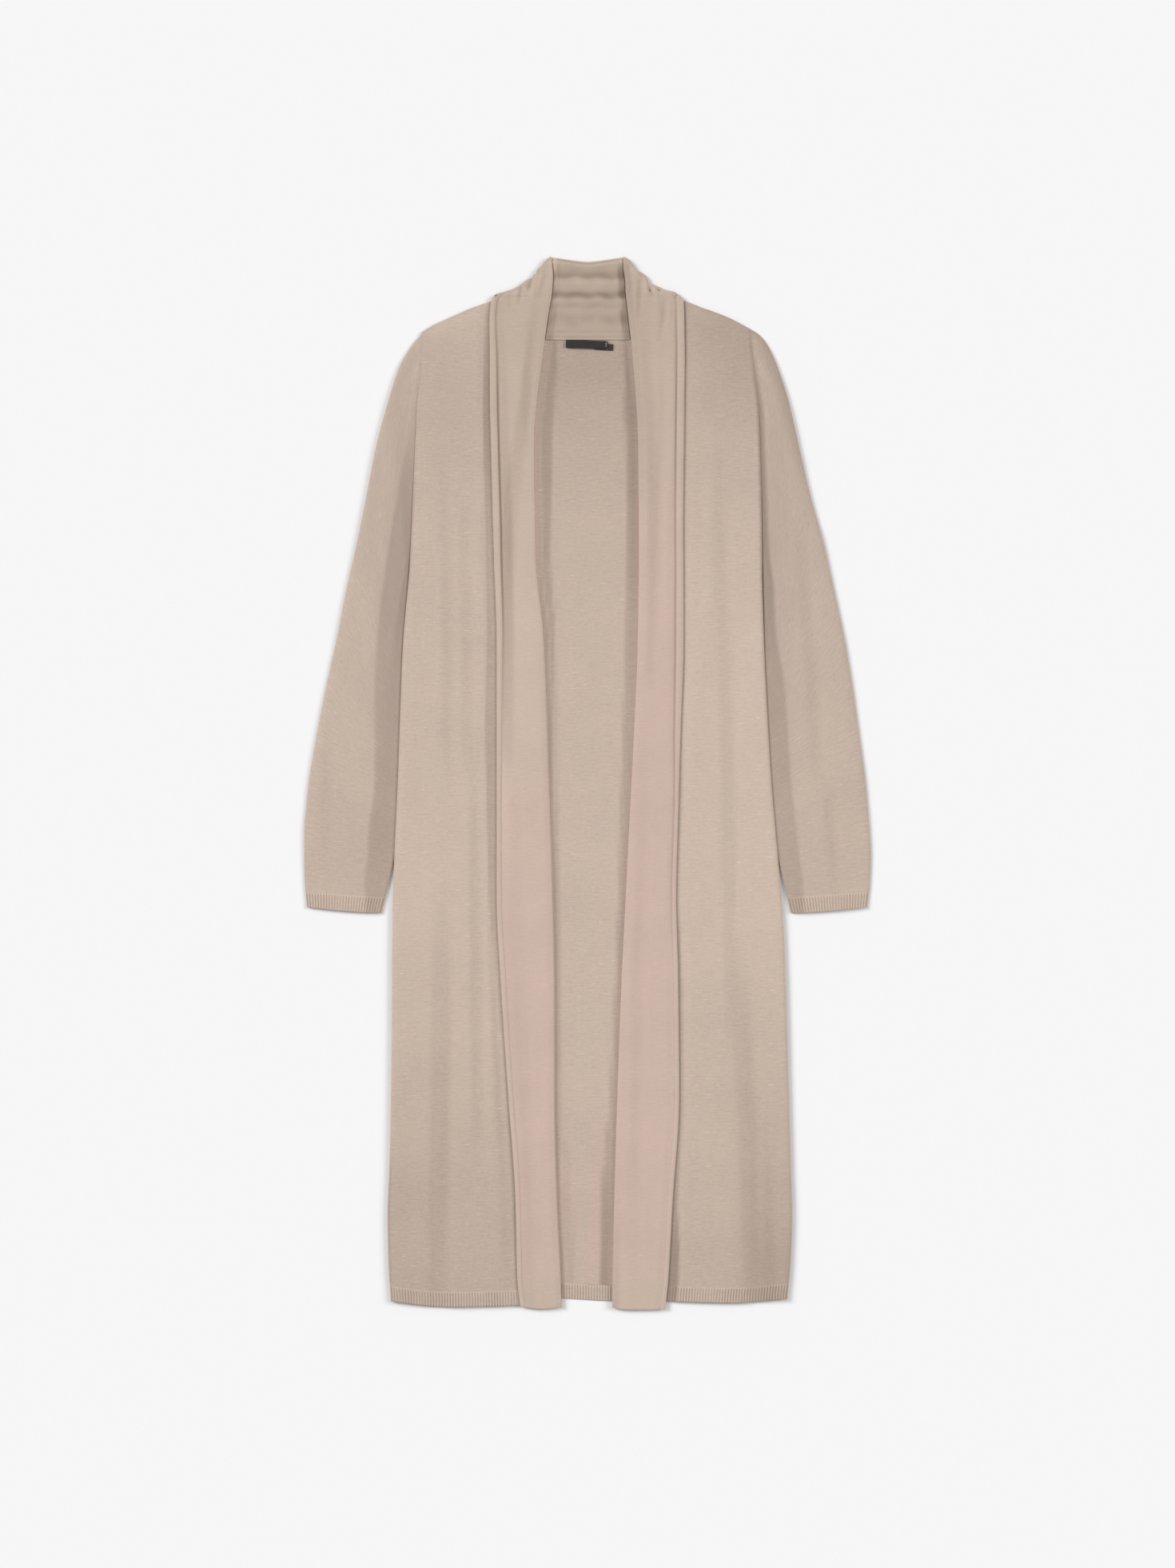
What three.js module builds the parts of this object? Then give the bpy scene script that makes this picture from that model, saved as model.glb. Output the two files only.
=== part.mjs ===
// A long open cardigan of fine knit, laid flat with its front up.
// It has dropped shoulders, long sleeves, ribbed hems and cuffs, and a doubled shawl band that
// runs from hem to hem round the back of the neck, turned back over the fronts as lapels.
// Millimetres. X runs across the garment, +Y from hem to collar, +Z up from the surface.
import * as THREE from "three";

// Cloth
const knit = 1.4; // wall of the knitted pieces
const seam = 0.3; // gap at a seam, and between layers that lie on each other
const sideGap = 0.5; // gap along the long curved seams, whose facets differ on the two sides
const hollowShare = 0.75; // share of a fold's rise that is air under the wall
const hollowLimit = 3.5; // tallest air space under a fold
const ribPitch = 3.13;
const ribRise = 0.5;
const ribBand = 17.5; // height of the ribbed bands at hems and cuffs

// Heights of the layers, from the surface up
const frontRest = knit + seam; // underside of the fronts and of the band's lower layer
const foldedHeight = frontRest + knit; // two walls pressed together
const lapelRest = foldedHeight + seam; // underside of what lies on the fronts

// Body side: armhole from the shoulder down to the underarm, then the side fold
const bodyEdge = [
  { y: 511, left: -187, right: 183 },
  { y: 480, left: -187, right: 186 },
  { y: 413, left: -193, right: 194 },
  { y: 340, left: -196, right: 196 },
  { y: 250, left: -200, right: 197 },
  { y: 150, left: -208, right: 199 },
  { y: 85, left: -210.5, right: 202 },
  { y: 0, left: -213.5, right: 207 },
  { y: -75, left: -217, right: 213.5 },
  { y: -125, left: -219, right: 218 },
  { y: -190, left: -220, right: 222 },
  { y: -325, left: -221, right: 226 },
  { y: -433, left: -223, right: 229 },
  { y: -487, left: -225, right: 230.5 },
  { y: -541, left: -224, right: 228.5 },
  { y: -579, left: -221.5, right: 225 },
];

// Front's top edge, from the armhole to the neck, as a share of the way across
const shoulder = [
  { across: 0, left: 506, right: 511 },
  { across: 0.3, left: 524, right: 524 },
  { across: 0.8, left: 547, right: 546 },
  { across: 1, left: 555, right: 555 },
];

// Back's top edge: shoulder, neck, shoulder
const backTopEdge = [
  { x: -187, y: 506 },
  { x: -147, y: 526.5 },
  { x: -106, y: 546 },
  { x: -86, y: 555 },
  { x: -75, y: 530 },
  { x: -62, y: 506 },
  { x: -50, y: 498.3 },
  { x: 0, y: 498.3 },
  { x: 50, y: 498.3 },
  { x: 62, y: 506 },
  { x: 75, y: 530 },
  { x: 86, y: 555 },
  { x: 106, y: 546 },
  { x: 145, y: 528.5 },
  { x: 183, y: 511 },
];

// Bottom edges of the ribbed hems
const frontHemLine = [
  { across: 0, left: -578.7, right: -578.7 },
  { across: 0.3, left: -587.7, right: -584.5 },
  { across: 1, left: -585.9, right: -583.2 },
];
const backHemLine = [
  { across: 0, y: -577.5 },
  { across: 0.44, y: -580.5 },
  { across: 0.56, y: -583.2 },
  { across: 1, y: -577.5 },
];

// Shawl band: distances from the centre line to its free edge and to its inner fold,
// width of the rolled trim along the free edge, and height of the soft roll at the fold
const band = {
  left: [
    { y: 591.5, free: 41.5, fold: 40, trim: 0, roll: 5 },
    { y: 584, free: 48.6, fold: 39.6, trim: 0, roll: 7 },
    { y: 573.3, free: 59.4, fold: 38.8, trim: 0, roll: 9 },
    { y: 568, free: 62.5, fold: 38.7, trim: 0, roll: 10 },
    { y: 562.5, free: 72, fold: 39, trim: 0, roll: 11 },
    { y: 557, free: 82, fold: 39.8, trim: 0, roll: 12 },
    { y: 551.5, free: 100, fold: 41, trim: 0, roll: 12 },
    { y: 546, free: 107.5, fold: 42, trim: 7, roll: 12 },
    { y: 521, free: 110.3, fold: 46, trim: 7, roll: 12 },
    { y: 480, free: 110, fold: 52.2, trim: 8, roll: 12 },
    { y: 431, free: 109.8, fold: 58.5, trim: 8.5, roll: 12 },
    { y: 386, free: 108.8, fold: 62.1, trim: 8.5, roll: 11.5 },
    { y: 287, free: 106.2, fold: 61, trim: 8.5, roll: 11 },
    { y: 251, free: 105.2, fold: 60.3, trim: 8, roll: 10.5 },
    { y: 160, free: 102.2, fold: 50.7, trim: 7, roll: 9 },
    { y: -32, free: 102.2, fold: 43.2, trim: 5.5, roll: 7 },
    { y: -127, free: 102.2, fold: 41, trim: 5.5, roll: 6.5 },
    { y: -217, free: 98, fold: 39.5, trim: 6, roll: 6 },
    { y: -352, free: 89.1, fold: 37.5, trim: 5.5, roll: 6 },
    { y: -469, free: 81, fold: 35.5, trim: 5.5, roll: 6 },
    { y: -554, free: 79, fold: 32, trim: 5.5, roll: 5.5 },
    { y: -585, free: 75.6, fold: 29.7, trim: 5.5, roll: 5 },
  ],
  right: [
    { y: 591.5, free: 41.5, fold: 40, trim: 0, roll: 5 },
    { y: 584, free: 50.4, fold: 40, trim: 0, roll: 7 },
    { y: 573.3, free: 61.2, fold: 40.4, trim: 0, roll: 9 },
    { y: 568, free: 65.7, fold: 41, trim: 0, roll: 10 },
    { y: 562.5, free: 73, fold: 41.5, trim: 0, roll: 11 },
    { y: 557, free: 83.7, fold: 42, trim: 0, roll: 12 },
    { y: 551.5, free: 93, fold: 42.6, trim: 0, roll: 12 },
    { y: 546, free: 106.5, fold: 43.2, trim: 8, roll: 12 },
    { y: 521, free: 108.9, fold: 46.2, trim: 9, roll: 12 },
    { y: 480, free: 109.4, fold: 50.4, trim: 9, roll: 12 },
    { y: 431, free: 109, fold: 54.5, trim: 9, roll: 12 },
    { y: 386, free: 108.6, fold: 56.7, trim: 9, roll: 11.5 },
    { y: 287, free: 107.6, fold: 57.6, trim: 8.5, roll: 11 },
    { y: 251, free: 107.8, fold: 57.6, trim: 8.5, roll: 10.5 },
    { y: 160, free: 108, fold: 56.5, trim: 9, roll: 9 },
    { y: 62, free: 104.9, fold: 52.5, trim: 7, roll: 8 },
    { y: -32, free: 101.6, fold: 47.7, trim: 6, roll: 7 },
    { y: -127, free: 99.5, fold: 43, trim: 6, roll: 6.5 },
    { y: -217, free: 102, fold: 38.5, trim: 5.5, roll: 6 },
    { y: -352, free: 103.1, fold: 33.5, trim: 5.5, roll: 6 },
    { y: -469, free: 95.9, fold: 30, trim: 5.5, roll: 6.5 },
    { y: -554, free: 90.9, fold: 28.2, trim: 5.5, roll: 7 },
    { y: -585, free: 87.3, fold: 27.9, trim: 5.5, roll: 6.5 },
  ],
};

// Bottom edge of each lapel, from the fold to the free edge
const lapelBottom = [
  { across: 0, left: -587.7, right: -585.9 },
  { across: 0.5, left: -591, right: -591.5 },
  { across: 0.85, left: -588, right: -591 },
  { across: 1, left: -583, right: -588 },
];

// Front edges, sewn to the band under the lapels: distance from the centre line
const frontEdge = [
  { y: 555, left: 86, right: 86 },
  { y: 521, left: 94, right: 93.5 },
  { y: 480, left: 98, right: 97.5 },
  { y: 386, left: 98, right: 98 },
  { y: 251, left: 95, right: 97.5 },
  { y: 160, left: 92.5, right: 97 },
  { y: 62, left: 92, right: 95 },
  { y: -32, left: 91.5, right: 92 },
  { y: -127, left: 91, right: 90.5 },
  { y: -217, left: 87.5, right: 91 },
  { y: -352, left: 79, right: 91 },
  { y: -469, left: 71, right: 86 },
  { y: -585, left: 66, right: 77.5 },
];

// Rise of the fronts above rest: a soft roll at the side fold, then a low loft
const sideRoll = [
  { inFromEdge: 0, armhole: 0, sideFold: 0.3 },
  { inFromEdge: 3, armhole: 0.3, sideFold: 2.4 },
  { inFromEdge: 8, armhole: 0.9, sideFold: 3.4 },
  { inFromEdge: 22, armhole: 2.2, sideFold: 2.6 },
  { inFromEdge: 50, armhole: 2.2, sideFold: 2 },
];
const rollGrows = { from: 420, to: 280 }; // heights between which the side roll appears
const backRibsShow = { from: -29.5, to: 26.5 }; // the back hem's ribs seen between the lapels
const lapelValley = 9; // width of the low strip of the front beside the trim
const lapelValleyEases = 7;
const topEases = 16; // the loft dies out this far below the shoulder line

// Folds: centre at the top, middle and lower end, half width and rise (below 0: a valley)
const frontFolds = {
  left: [
    { yTop: 330, yEnd: -20, top: -160, middle: -155, end: -155, halfWidth: 12, rise: -1.3 },
    { yTop: 330, yEnd: -20, top: -138, middle: -134, end: -134, halfWidth: 11, rise: -1.1 },
    { yTop: -110, yEnd: -620, top: -160, middle: -160, end: -163, halfWidth: 16, rise: -2 },
    { yTop: 60, yEnd: -440, top: -124, middle: -124, end: -121, halfWidth: 11, rise: -1.5 },
    { yTop: -60, yEnd: -560, top: -108, middle: -108, end: -96, halfWidth: 11, rise: 1.6 },
  ],
  right: [
    { yTop: 330, yEnd: -320, top: 152, middle: 160, end: 165, halfWidth: 13, rise: -1.4 },
    { yTop: -180, yEnd: -620, top: 174, middle: 183, end: 192, halfWidth: 18, rise: -2 },
    { yTop: 420, yEnd: 120, top: 140, middle: 138, end: 136, halfWidth: 14, rise: 1.2 },
    { yTop: -380, yEnd: -620, top: 204, middle: 206, end: 207, halfWidth: 12, rise: -1.4 },
  ],
};
const lapelFolds = {
  left: [
    { yTop: 560, yEnd: 60, top: -42, middle: -84, end: -92, halfWidth: 13, rise: -2.6 },
    { yTop: 60, yEnd: -600, top: -88, middle: -70, end: -58, halfWidth: 12, rise: -0.9 },
    { yTop: 574, yEnd: 535, top: -60, middle: -63, end: -66, halfWidth: 5, rise: -1.6 },
    { yTop: 566, yEnd: 535, top: -70, middle: -73, end: -75, halfWidth: 5, rise: -1.5 },
    { yTop: 558, yEnd: 526, top: -86, middle: -86, end: -86, halfWidth: 5, rise: -1.2 },
  ],
  right: [
    { yTop: 575, yEnd: 90, top: 56, middle: 76.5, end: 70, halfWidth: 12, rise: -2.2 },
    { yTop: 90, yEnd: -600, top: 70, middle: 58, end: 54, halfWidth: 12, rise: -1.2 },
    { yTop: 470, yEnd: 280, top: 84, middle: 84, end: 82, halfWidth: 8, rise: -0.9 },
    { yTop: 577, yEnd: 540, top: 69, middle: 70, end: 70, halfWidth: 5, rise: -1.6 },
    { yTop: 566, yEnd: 535, top: 84, middle: 85, end: 85, halfWidth: 5, rise: -1.4 },
  ],
};

// Sleeves: outline, sections from the armhole to the cuff, and shape of the upper wall
const sleeveOutline = [
  { y: 511, left: -187, right: 183 },
  { y: 506, left: -187, right: 190 },
  { y: 497, left: -194, right: 199.5 },
  { y: 487, left: -201, right: 205.5 },
  { y: 470, left: -211, right: 213 },
  { y: 431, left: -224, right: 226 },
  { y: 377, left: -238.5, right: 238.5 },
  { y: 323, left: -249, right: 251 },
  { y: 269, left: -260, right: 266 },
  { y: 215, left: -272, right: 278 },
  { y: 161, left: -282.6, right: 289.5 },
  { y: 107, left: -294.3, right: 298.5 },
  { y: 53, left: -305, right: 306 },
  { y: 0, left: -313.8, right: 313 },
  { y: -28, left: -316.8, right: 315.5 },
  { y: -55, left: -319, right: 317.6 },
  { y: -82, left: -319, right: 319 },
  { y: -109, left: -318.4, right: 318 },
  { y: -140, left: -316, right: 315 },
];
const sleeveSections = [
  { outer: 506, inner: 247 },
  { outer: 488, inner: 238 },
  { outer: 463, inner: 226 },
  { outer: 430, inner: 210 },
  { outer: 388, inner: 190 },
  { outer: 340, inner: 167 },
  { outer: 288, inner: 141 },
  { outer: 234, inner: 112 },
  { outer: 179, inner: 81 },
  { outer: 124, inner: 48 },
  { outer: 69, inner: 14 },
  { outer: 16, inner: -20 },
  { outer: -33, inner: -55 },
  { outer: -79, inner: -93 },
  { outer: -122, inner: -128.7 },
];
const cuffBottom = { outer: -139.5, middle: -144, inner: -146.2 };
const sleeveLeavesBody = -88; // below this the sleeve's inner fold runs clear of the body
const sleeveFlare = 0.238; // and moves outward this much for each millimetre down
const sleeveLoft = [
  { fromOuter: 0, rise: 0 },
  { fromOuter: 4, rise: 1.8 },
  { fromOuter: 12, rise: 3 },
  { fromOuter: 40, rise: 3.6 },
  { fromOuter: 90, rise: 3.6 },
];
// Width of the slope that goes down to the body's side
const sleeveSlope = [
  { y: 506, left: 4, right: 4 },
  { y: 413, left: 7, right: 5 },
  { y: 332, left: 18, right: 10 },
  { y: 260, left: 28, right: 13 },
  { y: 180, left: 33, right: 18 },
  { y: 85, left: 32, right: 26 },
  { y: 0, left: 29, right: 28 },
  { y: -73, left: 31, right: 28 },
  { y: -140, left: 16, right: 15 },
];
const sleeveFolds = {
  left: [
    { yTop: 470, yEnd: 120, top: -205, middle: -225, end: -248, halfWidth: 14, rise: 0.9 },
    { yTop: 60, yEnd: -130, top: -290, middle: -292, end: -290, halfWidth: 12, rise: -0.9 },
  ],
  right: [
    { yTop: 300, yEnd: -20, top: 238, middle: 252, end: 262, halfWidth: 12, rise: -1.2 },
    { yTop: 10, yEnd: -140, top: 270, middle: 276, end: 280, halfWidth: 11, rise: -1.4 },
  ],
};
const foldedEdge = 3; // how far in from a folded edge the wall reaches its full height
const cuffLoft = 1.2;
const cuffWidth = 88;

// Back neck: the band stands up from the neck seam and folds over at the top
const centreSeam = -4.5; // the two halves of the band meet here
const collarStand = 93; // height of the band above the neck seam, at its corners
const collarHalf = 40; // distance of the corners from the centre line
const collarTopDip = 5.5; // how much lower the top edge is at the centre
const collarWaves = [
  { y: 585, rise: 1.8 },
  { y: 572.4, rise: 0.4 },
  { y: 561.6, rise: 4.2 },
  { y: 550.8, rise: 0.2 },
  { y: 542.7, rise: 3.4 },
  { y: 530, rise: 2.4 },
  { y: 521, rise: 1.3 },
  { y: 511, rise: 1.8 },
  { y: 506, rise: 0.9 },
];
const neckSeam = 498.6;
const collarFallEnd = 507; // free edge of the turned-down half, under the collar

const label = { x: -0.9, y: 493.2, width: 46.8, height: 9, thick: 1, tilt: -0.03 };
const sizeTab = { x: 18.5, y: 490.3, width: 20.7, height: 7.2, thick: 0.9, tilt: -0.06 };

const colours = {
  knit: 0xc8b6a8,
  lapel: 0xcab6a8,
  collar: 0xb8a698,
  label: 0x32302c,
  sizeTab: 0x3f332c,
};

// Value of a column at a place on a smooth curve through the rows that never overshoots them
function along(rows, key, column, place) {
  const last = rows.length - 1;
  const rising = Math.sign(rows[last][key] - rows[0][key]);
  if ((place - rows[0][key]) * rising <= 0) return rows[0][column];
  if ((place - rows[last][key]) * rising >= 0) return rows[last][column];
  const i = rows.findIndex((row, k) => (place - rows[k + 1][key]) * rising < 0);
  const slope = (k) =>
    (rows[k + 1][column] - rows[k][column]) / (rows[k + 1][key] - rows[k][key]);
  const tangent = (k) => {
    if (k === 0) return slope(0);
    if (k === last) return slope(last - 1);
    const product = slope(k - 1) * slope(k);
    return product > 0 ? (2 * product) / (slope(k - 1) + slope(k)) : 0;
  };
  const step = rows[i + 1][key] - rows[i][key];
  const t = (place - rows[i][key]) / step;
  const u = 1 - t;
  const ends = rows[i][column] * u * u * (1 + 2 * t) + rows[i + 1][column] * t * t * (3 - 2 * t);
  return ends + step * t * u * (u * tangent(i) - t * tangent(i + 1));
}

const mix = THREE.MathUtils.lerp;
const ease = THREE.MathUtils.smoothstep;
const outward = { left: -1, right: 1 };
const edgeX = (side, y) => along(bodyEdge, "y", side, y);

// Height that the folds add at a place on a panel
function foldRise(folds, x, y) {
  let rise = 0;
  for (const fold of folds) {
    const t = (fold.yTop - y) / (fold.yTop - fold.yEnd);
    if (t <= 0 || t >= 1) continue;
    const centre =
      fold.top * (1 - t) * (1 - 2 * t) + fold.middle * 4 * t * (1 - t) + fold.end * t * (2 * t - 1);
    const off = Math.abs(x - centre) / fold.halfWidth;
    if (off < 1) rise += fold.rise * Math.sin(Math.PI * t) ** 0.6 * (1 + Math.cos(Math.PI * off)) / 2;
  }
  return rise;
}

// A closed wall between two grids of points, outer face and inner face.
// A ringed wall closes on itself across its columns.
function wallBetween(outer, inner, ringed = false) {
  const rows = outer.length;
  const columns = outer[0].length;
  const points = [...outer.flat(), ...inner.flat()];
  const place = (face, i, j) => face * rows * columns + i * columns + (j % columns);
  const corners = [];
  const quad = (a, b, c, d) => corners.push(a, b, c, a, c, d);
  const lastColumn = ringed ? columns : columns - 1;
  for (let j = 0; j < lastColumn; j++) {
    for (let i = 0; i < rows - 1; i++) {
      quad(place(0, i, j), place(0, i, j + 1), place(0, i + 1, j + 1), place(0, i + 1, j));
      quad(place(1, i, j), place(1, i + 1, j), place(1, i + 1, j + 1), place(1, i, j + 1));
    }
    const end = rows - 1;
    quad(place(0, 0, j), place(1, 0, j), place(1, 0, j + 1), place(0, 0, j + 1));
    quad(place(0, end, j), place(0, end, j + 1), place(1, end, j + 1), place(1, end, j));
  }
  for (let i = 0; i < rows - 1 && !ringed; i++) {
    const side = columns - 1;
    quad(place(0, i, 0), place(0, i + 1, 0), place(1, i + 1, 0), place(1, i, 0));
    quad(place(0, i, side), place(1, i, side), place(1, i + 1, side), place(0, i + 1, side));
  }
  return facingOut(points, corners);
}

// Mesh geometry of a closed body, its faces turned outward whichever way the grid ran
function facingOut(points, corners) {
  let volume = 0;
  for (let k = 0; k < corners.length; k += 3) {
    const [a, b, c] = [points[corners[k]], points[corners[k + 1]], points[corners[k + 2]]];
    volume += a.dot(b.clone().cross(c));
  }
  if (volume < 0) corners.reverse();
  const geometry = new THREE.BufferGeometry().setFromPoints(points);
  geometry.setIndex(corners);
  geometry.computeVertexNormals();
  return geometry;
}

// Evenly spread shares from 0 to 1
const shares = (count) => Array.from({ length: count + 1 }, (_, k) => k / count);
const grid = (rows, columns, at) => rows.map((v) => columns.map((u) => at(u, v)));
const point = (x, y, z) => new THREE.Vector3(x, y, z);

const group = new THREE.Group();
function addPiece(name, geometry, colour, roughness = 0.95) {
  const material = new THREE.MeshStandardMaterial({ color: colour, roughness, metalness: 0 });
  const mesh = new THREE.Mesh(geometry, material);
  mesh.name = name;
  group.add(mesh);
  return mesh;
}

const ribTop = (hemBottom) => hemBottom + ribBand + seam;

// Shares of the way down a panel at which its rows lie
const panelRows = [0, 0.012, 0.03, 0.055, 0.09, 0.13, 0.175, 0.225, 0.275, 0.325, 0.375, 0.43, 0.485,
  0.54, 0.595, 0.65, 0.705, 0.76, 0.81, 0.86, 0.905, 0.955, 1];
const backTip = backTopEdge[0].x;
const backWide = backTopEdge[backTopEdge.length - 1].x - backTip;
const backColumns = backTopEdge.map((row) => (row.x - backTip) / backWide);

// Bottom of the back's hem, straight between the panel's columns
function backHemAt(across) {
  const k = Math.max(1, backColumns.findIndex((column) => column >= across - 1e-9));
  const t = (across - backColumns[k - 1]) / (backColumns[k] - backColumns[k - 1]);
  const ends = [k - 1, k].map((n) => along(backHemLine, "across", "y", backColumns[n]));
  return mix(ends[0], ends[1], t);
}

// Back panel, flat on the surface
function makeBack() {
  const face = (height) =>
    grid(panelRows, backColumns, (across, down) => {
      const top = along(backTopEdge, "x", "y", backTip + across * backWide);
      const y = mix(top, ribTop(backHemAt(across)), down);
      return point(mix(edgeX("left", y), edgeX("right", y), across), y, height);
    });
  addPiece("back", wallBetween(face(knit), face(0)), colours.knit);
}

// Ribs show on the back hem only between the lapels
function makeBackHem() {
  const { from, to } = backRibsShow;
  const ribs = Math.round((to - from) / ribPitch);
  const stations = [-240, -185, -140, -95, -60].map((x) => ({ x, rise: 0 }));
  for (let k = 0; k <= 2 * ribs; k++)
    stations.push({ x: mix(from, to, k / 2 / ribs), rise: k % 2 ? ribRise : 0 });
  for (const x of [56, 95, 140, 185, 240]) stations.push({ x, rise: 0 });
  const face = (outerFace) =>
    shares(1).map((down) =>
      stations.map(({ x, rise }) => {
        const level = backHemLine[0].y + ribBand * (1 - down);
        const [left, right] = [edgeX("left", level), edgeX("right", level)];
        const across = THREE.MathUtils.clamp((x - left) / (right - left), 0, 1);
        const y = backHemAt(across) + ribBand * (1 - down);
        return point(mix(left, right, across), y, outerFace ? knit + rise : 0);
      }),
    );
  addPiece("back_hem", wallBetween(face(true), face(false)), colours.knit);
}

// Fronts
const bandAt = (side, column, y) => along(band[side], "y", column, y);

function frontX(side, across, y) {
  return mix(edgeX(side, y), outward[side] * along(frontEdge, "y", side, y), across);
}

function frontRise(side, across, x, y, belowTop) {
  const inFromEdge = Math.abs(edgeX(side, y) - x);
  const grown = ease(-y, -rollGrows.from, -rollGrows.to);
  const roll = mix(
    along(sideRoll, "inFromEdge", "armhole", inFromEdge),
    along(sideRoll, "inFromEdge", "sideFold", inFromEdge),
    grown,
  );
  const toTrim = Math.abs(x) - bandAt(side, "free", y);
  const valley = ease(toTrim, lapelValley - lapelValleyEases, lapelValley + lapelValleyEases);
  const free = ease(inFromEdge, 0, 10);
  const loft = Math.max(0, roll + foldRise(frontFolds[side], x, y) * free);
  return loft * valley * mix(0.3, 1, ease(belowTop, 0, topEases));
}

// Upper and lower face of a front at a place
function frontFaces(side, across, down, topOf, bottomOf, rib = 0) {
  const top = topOf(across);
  const y = mix(top, bottomOf(across), down);
  const x = frontX(side, across, y);
  const rise = frontRise(side, across, x, y, along(shoulder, "across", side, across) - y);
  const air = Math.min(rise * hollowShare, hollowLimit);
  return {
    outer: point(x, y, foldedHeight + rise + rib),
    inner: point(x, y, frontRest + air),
  };
}

function makeFront(side) {
  const percents = [0, 2.5, 8, 16, 25, 34, 43, 52, 61, 70, 79, 88, 94, 100];
  const columns = percents.map((percent) => percent / 100);
  const topOf = (across) => along(shoulder, "across", side, across);
  const bottomOf = (across) => ribTop(along(frontHemLine, "across", side, across));
  const face = (which) =>
    grid(panelRows, columns, (across, down) => frontFaces(side, across, down, topOf, bottomOf)[which]);
  addPiece("front_" + side, wallBetween(face("outer"), face("inner")), colours.knit);
}

function makeFrontHem(side) {
  const level = frontHemLine[2][side] + ribBand;
  const [sideX, innerX] = [frontX(side, 0, level), frontX(side, 1, level)];
  const ribs = Math.round(Math.abs(sideX - innerX) / ribPitch);
  const trimX = outward[side] * (bandAt(side, "free", level) + 1);
  const ribsEnd = (sideX - trimX) / (sideX - innerX);
  const bottomOf = (across) => along(frontHemLine, "across", side, across);
  const topOf = (across) => bottomOf(across) + ribBand;
  const face = (which) =>
    shares(1).map((down) =>
      shares(2 * ribs).map((across, k) => {
        const clear = across < ribsEnd && k % 2 ? ribRise : 0;
        return frontFaces(side, across, down, topOf, bottomOf, clear)[which];
      }),
    );
  addPiece("front_hem_" + side, wallBetween(face("outer"), face("inner")), colours.knit);
}

// Shawl band on a front: a lower layer out to the seam, a soft roll at the inner fold, and an
// upper layer back out to the trim
const upperHeight = (side, away, y) => {
  const fold = bandAt(side, "fold", y);
  const roll = bandAt(side, "roll", y);
  const edge = bandAt(side, "free", y) - bandAt(side, "trim", y);
  const t = THREE.MathUtils.clamp((away - fold - roll / 2) / (edge - fold - roll / 2), 0, 1);
  const settled = mix(frontRest + roll, lapelRest + knit + 0.8, ease(t, 0, 0.9));
  const folds = foldRise(lapelFolds[side], outward[side] * away, y);
  const flat = mix(settled + folds * ease(t, 0, 0.15), lapelRest + knit, ease(t, 0.86, 1));
  return Math.max(flat, lapelRest + knit);
};

function lapelSection(side, y) {
  const free = bandAt(side, "free", y);
  const fold = bandAt(side, "fold", y);
  const radius = Math.min(bandAt(side, "roll", y), (free - fold) * 1.2) / 2;
  const edge = free - bandAt(side, "trim", y) - seam;
  const sewn = Math.min(along(frontEdge, "y", side, y) - sideGap, free - 0.4);
  const section = [];
  const start = Math.max(sewn, fold + radius + 0.2);
  for (const t of [1, 0]) {
    const away = mix(fold + radius, start, t);
    section.push({ outer: [away, frontRest], inner: [away, frontRest + knit] });
  }
  for (const turn of [0.28, 0.5, 0.72, 1]) {
    const angle = Math.PI * turn;
    const inside = Math.max(radius - knit, 0.25);
    const round = (r) => [
      fold + radius - r * Math.sin(angle),
      frontRest + radius - r * Math.cos(angle),
    ];
    section.push({ outer: round(radius), inner: round(inside) });
  }
  const upperEnd = Math.max(edge, fold + radius + 0.4);
  for (const t of [0.13, 0.27, 0.41, 0.55, 0.69, 0.84, 1]) {
    const away = mix(fold + radius, upperEnd, t);
    const top = Math.max(upperHeight(side, away, y), frontRest + 2 * knit + seam);
    section.push({ outer: [away, top], inner: [away, top - knit] });
  }
  return section;
}

const lapelRows = [591.5, 584, 578.5, 573.3, 568, 562.5, 557, 551.5, 546, 536, 521, 500, 477,
  450, 415, 370, 325, 280, 235, 185, 135, 80, 25, -35, -95, -155, -215, -283, -352, -420, -480,
  -530, -565, -585];

// The last rows bend to the lapel's bottom edge
function bottomBow(side, away, y) {
  const fold = bandAt(side, "fold", y);
  const across = THREE.MathUtils.clamp((away - fold) / (bandAt(side, "free", y) - fold), 0, 1);
  const last = lapelRows[lapelRows.length - 1];
  return (along(lapelBottom, "across", side, across) - last) * ease(-y, 512, -last);
}

function makeLapel(side) {
  const face = (which) =>
    lapelRows.map((y) =>
      lapelSection(side, y).map((pair) => {
        const [away, z] = pair[which];
        return point(outward[side] * away, y + bottomBow(side, away, y), z);
      }),
    );
  addPiece("lapel_" + side, wallBetween(face("outer"), face("inner")), colours.lapel);
}

// Rolled trim along the lapel's free edge, lying on the front
function makeTrim(side) {
  const rows = lapelRows.filter((y) => y <= 546);
  const crown = [0.5, 2, 2.6, 2, 0.5];
  const face = (outerFace) =>
    rows.map((y) =>
      crown.map((rise, k) => {
        const away = bandAt(side, "free", y) - bandAt(side, "trim", y) * (1 - k / 4);
        const z = lapelRest + (outerFace ? knit / 2 + rise * 0.85 : 0);
        return point(outward[side] * away, y + bottomBow(side, away, y), z);
      }),
    );
  addPiece("trim_" + side, wallBetween(face(true), face(false)), colours.lapel);
}

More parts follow.
